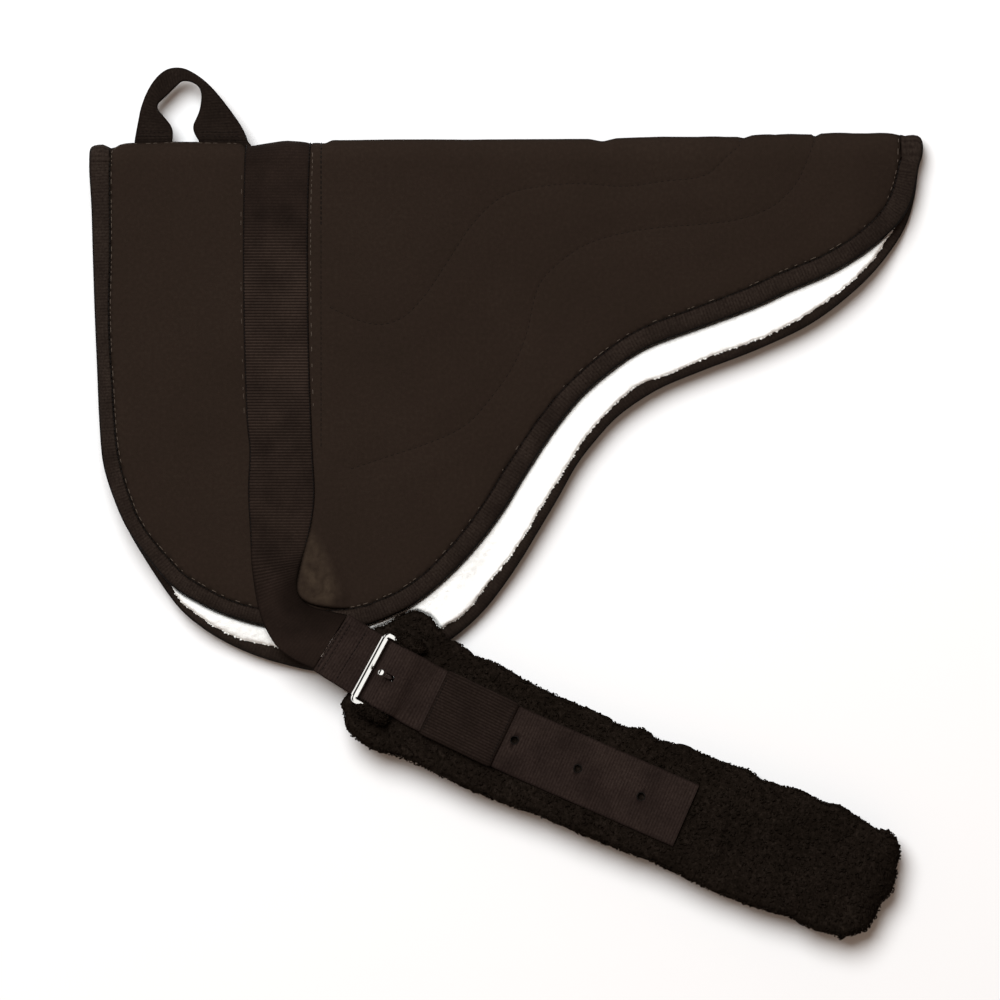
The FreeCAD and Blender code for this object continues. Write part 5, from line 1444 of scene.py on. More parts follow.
# painted shadow along the underside of the lip
under = 1 - ramp(d1, 0.5, 1.6)
fl = np.c_[pp, np.zeros(len(pp))]
pleat = mesh_piece("slack_fold_of_shell", settle(v), f, [SHELL], {"flat": np.vstack([fl, fl]), "pale_patch": np.r_[pale_patch, pale_patch],
                                                            "seam_and_painted_shade": np.r_[under, under]})
finish_piece(pleat, "near_half")


# ---------------------------------------------------------------- girth
GO, GA = np.array((-102.75, -125.63)), math.radians(-24.2)
GU = np.array((math.cos(GA), math.sin(GA)))
GV = np.array((-math.sin(GA), math.cos(GA)))


def to_uv(p):
    d = np.asarray(p, float) - GO
    return np.c_[d @ GU, d @ GV]


def from_uv(u, v):
    return GO + np.outer(u, GU) + np.outer(v, GV)


def grown_girth():
    """The girth's outline, with the pile filling the gap between it and the pad by the buckle."""
    g = smooth_line(GIRTH, 1.4, closed=True, sigma=0.8)[:-1]
    return g


gpoly = to_uv(grown_girth())


def curly(p3, seed):
    """Outward push of a curly pile."""
    w = np.c_[perlin(p3, 6.0, seed + 3), perlin(p3 + 30, 6.0, seed + 4), perlin(p3 + 60, 6.0, seed + 5)] * 1.6
    return (0.72 * (0.55 - cells(p3 + w, 4.0, seed)) + 0.28 * (0.5 - cells(p3, 2.0, seed + 1))
            + 0.75 * perlin(p3, 13.0, seed + 2))


def girth_layer(name, poly, z_lo, z_hi, edge_r, body, nodes, seed, step=1.55):
    """A closed fleece slab with rounded, ragged edges. z_lo and z_hi are functions of u."""
    p, t = fill(poly, step=step, edge_gap=0.45)
    closed = np.vstack([poly, poly[:1]])
    d = dist_to(p, closed)
    rnd = np.sqrt(np.clip(1 - (1 - np.clip(d / edge_r, 0, 1)) ** 2, 0, 1))
    lo, hi = z_lo(p[:, 0]), z_hi(p[:, 0])
    mid = (lo + hi) / 2
    xy = GO + np.outer(p[:, 0], GU) + np.outer(p[:, 1], GV)
    half = (hi - lo) / 2
    top = np.c_[xy, mid + half * rnd]
    bot = np.c_[xy, mid - half * rnd]
    kt, kb = curly(top, seed), curly(bot, seed + 9)
    top[:, 2] += kt * np.clip(rnd * 1.2, 0, 1) - 0.35
    bot[:, 2] -= (kb * np.clip(rnd * 1.2, 0, 1) - 0.35) * 0.6
    # sideways push near the edge, so that the outline is uneven
    c0 = poly.mean(0)
    e = boundary_loops(t)
    rim = np.unique(e)
    v = np.vstack([top, bot])
    n = len(p)
    near = d < 4.0
    idx = dist_to_index(p[near], closed)
    nrm = -left_of(tangents(closed[:-1], True))
    if not inside(closed[:1] - nrm[:1] * 0.5, poly)[0]:
        nrm = -nrm
    bumps = curly(top[near], seed + 20) * 0.7 + 1.9 * perlin(np.c_[top[near, :2], np.zeros(near.sum())], 9.0, seed + 21)
    push = bumps[:, None] * nrm[idx] * (1 - d[near] / 4.0)[:, None]
    pxy = push @ np.vstack([GU, GV])
    v[:n][near, :2] += pxy
    v[n:][near, :2] += pxy
    f = [t, t[:, ::-1] + n, np.stack([e[:, 0], e[:, 0] + n, e[:, 1] + n, e[:, 1]], 1)]
    ob = mesh_piece(name, v, f, [BLACK])
    finish_piece(ob, body, nodes)
    return p, top, d


def dist_to_index(p, c):
    out = np.empty(len(p), int)
    m = len(c) - 1
    for i in range(0, len(p), 4000):
        q = ((p[i:i + 4000, None] - c[None, :m]) ** 2).sum(2)
        out[i:i + 4000] = q.argmin(1)
    return out


def clip_u(poly, u0, keep_less):
    return clip_x(poly, u0, keep_less)


FOLD_U = 404.0


def densify(poly, step):
    out = []
    m = len(poly)
    for i in range(m):
        a, b = poly[i], poly[(i + 1) % m]
        k = max(1, int(np.linalg.norm(b - a) / step))
        out += [a + (b - a) * j / k for j in range(k)]
    return np.array(out)


near_g = densify(clip_u(gpoly, FOLD_U + 2.0, True), 1.5)
far_src = clip_u(gpoly, FOLD_U + 2.0, True)
far_g = clip_u(far_src, 70.0, False)
cen = far_g.mean(0)
far_g = densify(far_g, 1.5)
far_g[:, 1] = far_g[:, 1] + 0.8 * perlin(np.c_[far_g[:, 0], far_g[:, 0] * 0], 25.0, 77)


def far_low(u):
    z = np.interp(u, [70, 84, 96, 171, 190, 274, 300, 500], [11.5, 11.5, 8.3, 8.3, 4.2, 4.0, 0.6, 0.5])
    return z


gp, gtop, gd = girth_layer("girth_fleece_upper", near_g, lambda u: np.full(len(u), 20.5), lambda u: np.full(len(u), 31.0),
                           5.4, "near_girth", ("girth_near_fleece",), 41)
fp_, ftop, fd = girth_layer("girth_fleece_lower", far_g, far_low, lambda u: np.full(len(u), 19.9),
                            6.0, "far_girth", ("girth_far_fleece",), 51, step=2.0)

# the fold at the end of the girth
END = np.array([(-41.0, 396.0), (-37.5, 404.0), (-34.0, 411.5), (-26.6, 420.0), (-13.9, 422.7), (-3.4, 421.2), (8.0, 426.4),
                (21.0, 423.6), (28.1, 420.2), (35.0, 420.8), (42.0, 417.0), (46.5, 411.0), (48.6, 404.0), (49.4, 398.0)])
vv = np.linspace(-39.0, 48.2, 66)
endu = np.interp(vv, END[:, 0], END[:, 1])
rows = []
na_ = 34
for j, vj in enumerate(vv):
    eu = max(endu[j] - FOLD_U, 1.5)
    edge = min(vj - vv[0], vv[-1] - vj)
    rz = 10.6 * math.sqrt(max(0.05, 1 - (1 - min(edge / 6.5, 1)) ** 2))
    row = []
    for i in range(na_):
        a = math.pi / 2 - math.pi * i / (na_ - 1)
        q = np.array([FOLD_U + eu * math.cos(a) ** 0.85 if math.cos(a) > 1e-6 else FOLD_U, vj, 20.15 + rz * math.sin(a)])
        row.append(q)
    for uu_, zz_ in ((FOLD_U - 5.0, -rz * 0.92), (FOLD_U - 5.0, 0.0), (FOLD_U - 5.0, rz * 0.92)):
        row.append(np.array([uu_, vj, 20.15 + zz_]))
    rows.append(row)
rows = np.array(rows)
flatp = rows.reshape(-1, 3)
xyz = np.c_[GO + np.outer(flatp[:, 0], GU) + np.outer(flatp[:, 1], GV), flatp[:, 2]]
cx = np.c_[GO + np.outer(np.full(len(flatp), FOLD_U - 4), GU) + np.outer(flatp[:, 1], GV), np.full(len(flatp), 20.15)]
dirn = xyz - cx
dirn /= np.maximum(np.linalg.norm(dirn, axis=1, keepdims=True), 1e-6)
mask = (np.arange(rows.shape[1]) < na_).astype(float)
mask = np.broadcast_to(mask[None], rows.shape[:2]).reshape(-1)
xyz = xyz + dirn * (curly(xyz, 55) * mask)[:, None]
xyz[:, 2] = np.maximum(xyz[:, 2], 0.3)
v, f = tube(xyz.reshape(rows.shape), True, True)
fold = mesh_piece("girth_fleece_end_fold", v, f, [BLACK])
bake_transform(fold)
finish_piece(fold, None, ("girth_fold_fleece",))


def curl(base, axis, rad, turn, fat, rise, seed, sides=4, k=7):
    """One curl of fleece: part of a ring of soft yarn."""
    axis = axis / np.linalg.norm(axis)
    ref = np.cross(axis, (0.3, 0.1, 0.9))
    ref /= np.linalg.norm(ref)
    oth = np.cross(axis, ref)
    t = np.linspace(0, 1, k)
    a = seed * 6.28 + t * turn
    p = base + ref * (np.cos(a) * rad)[:, None] + oth * (np.sin(a) * rad)[:, None] + axis * (rise * t)[:, None]
    radial = ref * np.cos(a)[:, None] + oth * np.sin(a)[:, None]
    w = fat * np.array([0.35, 0.9, 1, 1, 1, 0.8, 0.25])[:k]
    b = np.arange(sides) / sides * 2 * math.pi
    ring = p[:, None] + (radial[:, None] * np.cos(b)[None, :, None] + axis[None, None] * np.sin(b)[None, :, None]) * w[:, None, None]
    return tube(ring, caps=False)


def curls_over(name, pts, nrm, body, seed, fat=(0.32, 0.6), rad=(0.7, 1.6), lift=0.1):
    rs = np.random.RandomState(seed)
    parts = []
    for q, n_ in zip(pts, nrm):
        ax = n_ + rs.normal(size=3) * 0.9
        base = q + n_ * (lift + rs.uniform(-0.35, 0.25)) + rs.normal(size=3) * 0.3
        base[2] = max(base[2], 0.9)
        parts.append(curl(base, ax, rs.uniform(*rad), rs.uniform(3.0, 5.4), rs.uniform(*fat), rs.uniform(-0.6, 0.9), rs.rand()))
    v, f = join_parts(parts)
    ob = mesh_piece(name, v, f, [BLACK])
    return ob


def scatter(poly, spacing, seed):
    rs = np.random.RandomState(seed)
    lo, hi = poly.min(0), poly.max(0)
    g = np.stack(np.meshgrid(np.arange(lo[0], hi[0], spacing), np.arange(lo[1], hi[1], spacing)), -1).reshape(-1, 2)
    g += rs.uniform(-0.5, 0.5, g.shape) * spacing
    return g[inside(g, poly)]


def nearest_z(q, p, z):
    out = np.empty(len(q))
    for i in range(0, len(q), 1500):
        k = ((q[i:i + 1500, None] - p[None]) ** 2).sum(2).argmin(1)
        out[i:i + 1500] = z[k]
    return out


sp = scatter(near_g, 3.15, 71)
# where the billet and keeper lie on the fleece it is pressed flat and no curls show
bc = to_uv([(-64.4, -144.8), (1.9, -177.4), (14.6, -183.0), (136.0, -236.2)])
cover = dist_to(sp, bc) < 23.5
sp = sp[~(cover & (sp[:, 0] > 8) & (sp[:, 0] < 262))]
sz = nearest_z(sp, gp, gtop[:, 2])
sd = dist_to(sp, np.vstack([near_g, near_g[:1]]))
edge_n = -(left_of(tangents(near_g, True)))
if not inside(near_g[:1] - edge_n[:1] * 0.5, near_g)[0]:
    edge_n = -edge_n
ei = dist_to_index(sp, np.vstack([near_g, near_g[:1]]))
tilt = np.clip(1 - sd / 5.4, 0, 1)[:, None]
n3 = np.c_[edge_n[ei] @ np.vstack([GU, GV]) * tilt, 1 - tilt * 0.8]
n3 /= np.linalg.norm(n3, axis=1, keepdims=True)
pts3 = np.c_[from_uv(sp[:, 0], sp[:, 1]), sz]
c1 = curls_over("girth_curls_upper", pts3, n3, "near_girth", 72)
finish_piece(c1, "near_girth")

# curls along both rims, which show from the side and make the outline ragged
rim_pts, rim_n = [], []
rs = np.random.RandomState(74)
gc = resample(np.vstack([near_g, near_g[:1]]), 2.0)
gi = dist_to_index(gc, np.vstack([near_g, near_g[:1]]))
for q, i in zip(gc, gi):
    if q[0] > FOLD_U:
        continue
    for _ in range(2):
        nn = edge_n[i] @ np.vstack([GU, GV])
        zz = rs.uniform(22.0, 30.0)
        xy = from_uv(np.array([q[0]]), np.array([q[1]]))[0]
        rim_pts.append(np.r_[xy - nn * rs.uniform(0.0, 0.8), zz])
        rim_n.append(np.r_[nn, 0.2])
c2 = curls_over("girth_curls_rim", np.array(rim_pts), np.array(rim_n), "near_girth", 75, fat=(0.42, 0.75), rad=(0.6, 1.25), lift=-0.15)
finish_piece(c2, "near_girth")
rim_pts, rim_n = [], []
fc = resample(np.vstack([far_g, far_g[:1]]), 2.4)
fedge_n = -(left_of(tangents(far_g, True)))
if not inside(far_g[:1] - fedge_n[:1] * 0.5, far_g)[0]:
    fedge_n = -fedge_n
fi = dist_to_index(fc, np.vstack([far_g, far_g[:1]]))
for q, i in zip(fc, fi):
    if q[0] > FOLD_U:
        continue
    lo_ = float(far_low(np.array([q[0]]))[0])
    for _ in range(2):
        nn = fedge_n[i] @ np.vstack([GU, GV])
        zz = rs.uniform(lo_ + 1.6, 18.6)
        xy = from_uv(np.array([q[0]]), np.array([q[1]]))[0]
        rim_pts.append(np.r_[xy - nn * rs.uniform(0.0, 0.8), zz])
        rim_n.append(np.r_[nn, -0.1])
c3 = curls_over("girth_curls_lower_rim", np.array(rim_pts), np.array(rim_n), "far_girth", 76, fat=(0.42, 0.75), rad=(0.6, 1.25), lift=-0.15)
finish_piece(c3, "far_girth")
# curls over the end fold, shared between the two layers
keep = mask.reshape(rows.shape[:2]) > 0
pts_f = xyz.reshape(*rows.shape)[keep]
nrm_f = dirn.reshape(*rows.shape)[keep]
sel = rs.rand(len(pts_f)) < 0.34
c4 = curls_over("girth_curls_end", pts_f[sel], nrm_f[sel], None, 78)
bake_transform(c4)
finish_piece(c4)

# the core strap inside, bent round the end fold
an = np.linspace(math.pi / 2, -math.pi / 2, 40)
cu = 406.5 + 5.45 * np.cos(an)
cz = 20.15 + 5.45 * np.sin(an)
lo_n, hi_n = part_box("girth_fold_core")
cl = np.c_[from_uv(cu, np.full(40, 5.1 - 25.0)), cz]
cr = np.c_[from_uv(cu, np.full(40, 5.1 + 25.0)), cz]
ou = np.c_[np.outer(np.cos(an), GU), np.sin(an)]
v, f, rib, weave = ribbon(cr, cl, ou, 1.9, 2.22, 0.1, 8)
core = mesh_piece("girth_core_bend", v, f, [WEB], {"rib": rib, "weave": weave})
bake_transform(core)
finish_piece(core, None, ("girth_fold_core",))


# ---------------------------------------------------------------- webbing with cut holes
def cut_with(ob, cutters):
    """Takes the cutters out of ob and removes them."""
    for c in cutters:
        m = ob.modifiers.new("cut", "BOOLEAN")
        m.operation = "DIFFERENCE"
        m.solver = "EXACT"
        m.object = c
    bpy.context.view_layer.update()
    dg = bpy.context.evaluated_depsgraph_get()
    me = bpy.data.meshes.new_from_object(ob.evaluated_get(dg))
    old = ob.data
    ob.modifiers.clear()
    ob.data = me
    bpy.data.meshes.remove(old)
    for c in cutters:
        bpy.data.objects.remove(c, do_unlink=True)
    me.polygons.foreach_set("use_smooth", np.full(len(me.polygons), True))
    me.set_sharp_from_angle(angle=math.radians(50))
    return ob


def peg(x, y, z0, z1, r, n=28):
    a = np.arange(n) / n * 2 * math.pi
    ring = [np.c_[x + r * np.cos(a), y + r * np.sin(a), np.full(n, z)] for z in (z0, z1)]
    v, f = tube(np.array(ring), True, True)
    return mesh_piece("cutter", v, f, [WEB], smooth=False)


def block(center, ax, half, z0, z1):
    c, s_ = math.cos(ax), math.sin(ax)
    pts = []
    for z in (z0, z1):
        for sx, sy in ((-1, -1), (1, -1), (1, 1), (-1, 1)):
            dx, dy_ = sx * half[0], sy * half[1]
            pts.append((center[0] + dx * c - dy_ * s_, center[1] + dx * s_ + dy_ * c, z))
    v = np.array(pts)
    f = [np.array([(0, 3, 2, 1), (4, 5, 6, 7), (0, 1, 5, 4), (1, 2, 6, 5), (2, 3, 7, 6), (3, 0, 4, 7)])]
    return mesh_piece("cutter", v, f, [WEB], smooth=False)


def melted_rims(name, spots, body, nrm_z=1.0):
    parts = []
    for i, (x, y, z, r) in enumerate(spots):
        a = np.arange(36) / 36 * 2 * math.pi
        b = np.arange(8) / 8 * 2 * math.pi
        wob = 1 + 0.05 * np.sin(a * 3 + i) + 0.03 * np.sin(a * 7 + 2 * i)
        rr = r * wob
        ring = np.stack([np.c_[x + (rr[k] + 0.42 * np.cos(b)) * np.cos(a[k]), y + (rr[k] + 0.42 * np.cos(b)) * np.sin(a[k]),
                               z + 0.26 * np.sin(b) * nrm_z] for k in range(36)])
        parts.append((ring.reshape(-1, 3), [rings_to_faces(36, 8, loop=True)]))
    v, f = join_parts(parts)
    ob = mesh_piece(name, v, f, [THREAD])
    return finish_piece(ob, body)


BO, BA = np.array((-101.85, -123.98)), math.radians(-28.1)
BU = np.array((math.cos(BA), math.sin(BA)))
BV = np.array((-math.sin(BA), math.cos(BA)))

# near billet: centre line, height and heading, from the sewn end to the tip
st = [((-131.0, -105.75), 34.5), ((-117.0, -114.6), 34.5), (tuple(BO + 2.5 * BU), 34.45), (tuple(BO + 8.0 * BU), 35.7),
      (tuple(BO + 15.0 * BU), 40.0), (tuple(BO + 21.5 * BU), 40.6), (tuple(BO + 28.0 * BU), 39.6), (tuple(BO + 35.0 * BU), 36.0),
      ((-64.4, -144.8), 34.4), ((-45.0, -154.4), 34.2), ((-27.75, -162.9), 34.2), (((-8.0), -172.6), 34.2),
      ((4.0, -178.2), 33.9), ((16.0, -183.7), 32.6), ((34.0, -191.6), 32.3), ((60.0, -203.0), 32.35), ((95.0, -218.3), 32.4),
      ((134.6, -235.6), 32.6)]
line = np.array([(a[0], a[1], z) for a, z in st])
c3 = smooth_line(line, 1.0, sigma=1.6)
c3 = resample(c3, 0.58)
t3 = np.gradient(c3, axis=0)
t3 /= np.linalg.norm(t3, axis=1, keepdims=True)
side = np.cross(t3, (0, 0, 1.0))
side /= np.linalg.norm(side, axis=1, keepdims=True)
uz = np.cross(side, t3)
v, f, rib, weave = ribbon(c3 - side * 25.0, c3 + side * 25.0, uz, 1.75, 2.24, 0.08, 16, wave=0.22, seed=23, tuck=0.25,
                          fade=0.55)
billet = mesh_piece("near_billet_webbing", v, f, [BILLET_WEB], {"rib": rib, "weave": weave}, sharp=60)
HOLES = [(-41.25, -156.8), (6.2, -178.9), (53.6, -200.3), (100.9, -221.1)]
cuts = [peg(x, y, 26, 44, 3.0) for x, y in HOLES]
cuts.append(block(BO + 16.9 * BU, BA, (3.4, 2.1), 30, 50))
cut_with(billet, cuts)
finish_piece(billet, "near_girth", ("near_billet",))
hz = [np.interp(0, [0], [c3[np.linalg.norm(c3[:, :2] - np.array(h), axis=1).argmin(), 2] + 0.9]) for h in HOLES]
melted_rims("near_billet_hole_rims", [(h[0], h[1], float(z), 3.05) for h, z in zip(HOLES, hz)], "near_girth")

# rows of stitching where the billet is sewn to the turned strap
parts = []
seam_a, seam_b = np.array(TURN_LEFT[-1]), np.array(TURN_RIGHT[-1])
fwd = np.array((math.cos(math.radians(-32.2)), math.sin(math.radians(-32.2))))
for off, inn in ((2.2, 0.05), (6.0, 0.05), (19.0, 0.06)):
    a0, a1 = seam_a + fwd * off, seam_b + fwd * off
    q = np.linspace(inn, 1 - inn, 60)[:, None]
    xy = a0 + (a1 - a0) * q
    parts += stitch_run(np.c_[xy, np.full(60, 35.52)], (0, 0, 1), 2.5, 0.9, 0.27, 0.08)
v, f = join_parts(parts)
finish_piece(mesh_piece("billet_seam_stitching", v, f, [THREAD]), "near_girth")

# off-side billet, straight under the pad
ys = np.arange(-107.2, 187.3, 0.62)
ln = np.c_[np.full(len(ys), -144.3), ys, np.full(len(ys), 1.02)]
rn = np.c_[np.full(len(ys), -194.1), ys, np.full(len(ys), 1.02)]
v, f, rib, weave = ribbon(ln, rn, (0, 0, 1), 1.72, 2.24, 0.10, 14, seed=29)
fb = mesh_piece("off_side_billet_webbing", v, f, [BILLET_WEB], {"rib": rib, "weave": weave})
fh = [(-169.2, -107.6 + d) for d in (50.5, 102.4, 154.6, 206.6, 258.2)]
cut_with(fb, [peg(x, y, -4, 6, 3.0) for x, y in fh])
finish_piece(fb, "off_side_billet", ("far_billet",))
melted_rims("off_side_billet_hole_rims", [(h[0], h[1], 0.42, 3.05) for h in fh], "off_side_billet", -1.0)


# ---------------------------------------------------------------- keepers
def keeper(name, center, ang, z_lo, z_hi, length, body, node, seed, across=56.0):
    c = np.asarray(center)
    ku = np.array((math.cos(ang), math.sin(ang)))
    kv = np.array((-math.sin(ang), math.cos(ang)))
    t = 1.35
    hw, hh_ = across / 2 - t / 2, (z_hi - z_lo) / 2 - t / 2
    zc_ = (z_hi + z_lo) / 2
    r = 2.3
    pts, nr = [], []
    corners = [(hw - r, hh_ - r, 0), (-(hw - r), hh_ - r, 90), (-(hw - r), -(hh_ - r), 180), (hw - r, -(hh_ - r), 270)]
    start = (6.0, -hh_)
    pts.append(start)
    nr.append((0, -1))
    order = [(hw - r, -(hh_ - r), 270), (hw - r, hh_ - r, 0), (-(hw - r), hh_ - r, 90), (-(hw - r), -(hh_ - r), 180)]
    for cx_, cy_, a0 in order:
        for k in range(9):
            a = math.radians(a0 + 90 * k / 8)
            pts.append((cx_ + r * math.cos(a), cy_ + r * math.sin(a)))
            nr.append((math.cos(a), math.sin(a)))
    pts.append((5.4, -hh_))
    nr.append((0, -1))
    both = resample(np.c_[np.array(pts), np.array(nr) * 0.001], 0.55)
    nrm = both[:, 2:] / np.linalg.norm(both[:, 2:], axis=1, keepdims=True)
    vz = both[:, :2].copy()
    crown = 0.35 * np.clip(1 - (vz[:, 0] / hw) ** 2, 0, 1) * (vz[:, 1] > 0)
    base = c + np.outer(vz[:, 0], kv)
    a3 = np.c_[base - ku * length / 2, zc_ + vz[:, 1] + crown]
    b3 = np.c_[base + ku * length / 2, zc_ + vz[:, 1] + crown]
    n3_ = np.c_[np.outer(nrm[:, 0], kv), nrm[:, 1]]
    v, f, rib, weave = ribbon(b3, a3, n3_, t, 2.2, 0.10, 16, wave=0.12, seed=seed, fade=0.62)
    ob = mesh_piece(name, v, f, [KEEP_WEB], {"rib": rib, "weave": weave}, sharp=60)
    finish_piece(ob, body, (node,))
    parts = []
    for off in (-length / 2 + 1.9, length / 2 - 1.9):
        q = np.linspace(-22, 22, 60)
        xy = c + ku * off + np.outer(q, kv)
        z = z_hi + 0.35 * (1 - (q / hw) ** 2) + 0.06
        parts += stitch_run(np.c_[xy, z], (0, 0, 1), 2.3, 0.9, 0.25, 0.05)
    v, f = join_parts(parts)
    finish_piece(mesh_piece(name + "_stitching", v, f, [THREAD]), body)


keeper("near_keeper_loop", (-27.75, -162.8), math.radians(-25.6), 31.1, 37.3, 59.0, "near_girth", "near_keeper", 33, 53.0)
kc = from_uv(np.array([140.0]), np.array([0.0]))[0]
lo_k, hi_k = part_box("far_keeper")
kc = np.array(((lo_k[0] + hi_k[0]) / 2, (lo_k[1] + hi_k[1]) / 2)) * 1000.0
keeper("far_keeper_loop", kc, GA, lo_k[2] * 1000.0, hi_k[2] * 1000.0, 59.0, "far_girth", "far_keeper", 34)


# ---------------------------------------------------------------- chapes, the loops that hold the buckles
def chape(name, origin, ang, bar_u, bar_z, base_z, upw, body, node):
    hb = abs(bar_z - base_z)
    prof = [(bar_u + 30.3, 0.85), (bar_u + 16, 0.85), (bar_u + 3.2, 0.85)]
    for deg in range(-100, -265, -15):
        a = math.radians(deg)
        prof.append((bar_u + 2.8 * math.cos(a), hb + 2.8 * math.sin(a)))
    prof += [(bar_u + 2.6, hb + 2.5), (bar_u + 6.0, 4.9), (bar_u + 9.0, 2.75), (bar_u + 12.4, 2.45)]
    prof = np.array(prof)
    pc = resample(smooth_line(prof, 0.5, sigma=0.5), 0.55)
    tt = tangents(pc)
    nn = left_of(tt) * -1.0
    o = np.asarray(origin)
    ku = np.array((math.cos(ang), math.sin(ang)))
    kv = np.array((-math.sin(ang), math.cos(ang)))
    base = o + np.outer(pc[:, 0], ku)
    z = base_z + upw * pc[:, 1]
    a3 = np.c_[base - kv * 24.4, z]
    b3 = np.c_[base + kv * 24.4, z]
    n3_ = np.c_[np.outer(nn[:, 0], ku), nn[:, 1] * upw]
    if upw > 0:
        a3, b3 = b3, a3
    v, f, rib, weave = ribbon(a3, b3, n3_, 1.5, 2.2, 0.07, 10, seed=35)
    ob = mesh_piece(name, v, f, [BILLET_WEB], {"rib": rib, "weave": weave})
    cut_with(ob, [block(o + ku * (bar_u + 2.9), ang, (7.9, 3.0), bar_z - 9, bar_z + 9)])
    finish_piece(ob, body, (node,))


chape("near_chape_loop", BO, BA, 21.5, 35.0, 31.0, 1, "near_girth", "near_chape")
chape("far_chape_loop", GO, GA, 78.5, 7.5, 11.1, -1, "far_girth", "far_chape")


# ---------------------------------------------------------------- stitching over the pad
def cloth_path(c, lift=0.0):
    """3-D path and up directions of a line drawn on the cloth in (x, s)."""
    ed = edge_distance(c)
    h = relief(c[:, 0], c[:, 1], ed) + lift
    p = cloth_point(c[:, 0], c[:, 1], h)
    q = cloth_point(c[:, 0], c[:, 1], h + 1.0)
    d = q - p
    return p, d / np.maximum(np.linalg.norm(d, axis=1, keepdims=True), 1e-9)


parts = []
for q in quilts:
    c = resample(q, 0.6)
    path, upv = cloth_path(c, 0.0)
    parts += stitch_run(path, upv, 2.6, 1.9, 0.19, 0.04)
for s0_, s1_, r_ in ((40.0, 206.0, 0.22), (206.0, 2 * S_MID - 206.0, 0.44), (2 * S_MID - 206.0, 2 * S_MID - 40.0, 0.22)):
    ts = np.c_[np.full(300, TOPSTITCH_X), np.linspace(s0_, s1_, 300)]
    path, upv = cloth_path(ts, 0.10)
    parts += stitch_run(path, upv, 2.6, 1.2, r_, 0.12)
v, f = join_parts(parts)
qs = mesh_piece("quilting_stitches", settle(v), f, [THREAD])
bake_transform(qs)
finish_piece(qs)

# along both edges of the strap
parts = []
mL, mR, mU = L, Rr, U
wv = mR - mL
wl = np.linalg.norm(wv, axis=1, keepdims=True)
for off in (0.9, -0.9):
    base = (mL + wv / wl * off) if off > 0 else (mR + wv / wl * off)
    pth = base + mU * 0.02
    topm = pth[:, 1] > YC
    m_ = np.exp(-((pth[:, 0] + 166.0) / 15.0) ** 2)
    pth[topm, 1] += 1.5 * m_[topm] * np.clip((pth[topm, 1] - YC) / 14.0, 0, 1)
    parts += stitch_run(pth, mU, 2.5, 0.8, 0.36, 0.10)
v, f = join_parts(parts)
ss_ = mesh_piece("strap_stitching", v, f, [THREAD])
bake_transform(ss_)
finish_piece(ss_)

# along the inner edge of the binding
for nm, pth2, out2, wd_, z0, sg, body in (("near_binding_stitching", np_path, NO, NW, 26.65, 1.0, "near_half"),
                                          ("far_binding_stitching", fp_path, FO, np.full(len(fp_path), 15.4), 10.95, -1.0,
                                           "far_half")):
    q = np.c_[pth2 - out2[:, :2] * (wd_ - 0.45)[:, None], np.full(len(pth2), z0 + sg * 6.72)]
    q = resample(q, 0.6)
    parts = stitch_run(q, (0, 0, sg), 2.9, 0.7, 0.46, 0.10)
    v, f = join_parts(parts)
    finish_piece(mesh_piece(nm, settle(v), f, [THREAD]), body)

# raised fibres of the cloth just inside the tape, and beside the strap, in a light colour that is a painted highlight
# along the cloth's edge
def fibre_run(c, keep, seed, rad):
    rs = np.random.RandomState(seed)
    c = resample(c, 0.8)
    acc = arc_of(c)
    out = []
    s = 0.5
    while s < acc[-1] - 4:
        ln = rs.uniform(1.6, 5.5)
        m = (acc >= s) & (acc <= s + ln)
        if m.sum() >= 3 and rs.rand() < keep(c[m][len(c[m]) // 2]):
            path, upv = cloth_path(c[m], -0.02)
            path = path + upv * 0.05
            out += stitch_run(path, upv, arc_of(path)[-1] * 0.97, 99.0, rad, 0.03, start=-0.49)
        s += ln + rs.uniform(0.3, 1.3)
    return out


inner = inwards(near_path, near_w + 0.75)
inner = inner[inner[:, 1] < YC - 1.0]
parts = fibre_run(inner, lambda q: 0.97 if q[0] < -290 else (0.8 if q[0] < -196 else (0.85 if q[0] > 285 else 0.3)), 91, 0.36)
ys_ = np.arange(YC + 8.0, 60.0, -0.8)
beside = np.c_[strap_x(np.minimum(ys_, YC), 1) + 1.9, ys_]
parts += fibre_run(beside, lambda q: 0.95 * float(ramp(np.array([q[1]]), 40, 130)[0]), 92, 0.34)
beside = np.c_[strap_x(np.minimum(ys_, YC), -1) - 1.4, ys_]
parts += fibre_run(beside, lambda q: 0.35, 93, 0.26)
# and along the fold of the front panel, beside the handle
x_ = np.arange(-289.0, -197.0, 0.8)
top_ = crest_y(x_)
row_ = s_of(x_, top_ - 1.1)
parts += fibre_run(np.c_[x_, row_], lambda q: 0.9, 94, 0.3)
# and round both ends of the fold
xa_, xb_ = inner[0, 0], inner[-1, 0]
for run_, sd_ in (([(xa_, YC - 1.0), (xa_ - 0.1, 260.5), (xa_ + 0.8, 262.7), (xa_ + 3.2, 264.5), (xa_ + 6.2, 266.0)], 95),
                  ([(xb_, YC - 1.0), (xb_ + 0.3, 262.0), (xb_ + 0.9, 272.6)], 96)):
    run_ = resample(np.array(run_), 0.8)
    parts += fibre_run(np.c_[run_[:, 0], s_of(run_[:, 0], run_[:, 1])], lambda q: 0.95, sd_, 0.38)
v, f = join_parts(parts)
fr = mesh_piece("cloth_edge_fibres", settle(v), f, [EDGE_FIBRE_HIGHLIGHT])
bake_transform(fr)
finish_piece(fr)


# ---------------------------------------------------------------- round the near buckle
def bv(u_, v_, z_):
    p_ = BO + np.outer(np.atleast_1d(u_), BU) + np.outer(np.atleast_1d(v_), BV)
    return np.c_[p_, np.broadcast_to(z_, (len(p_),))]


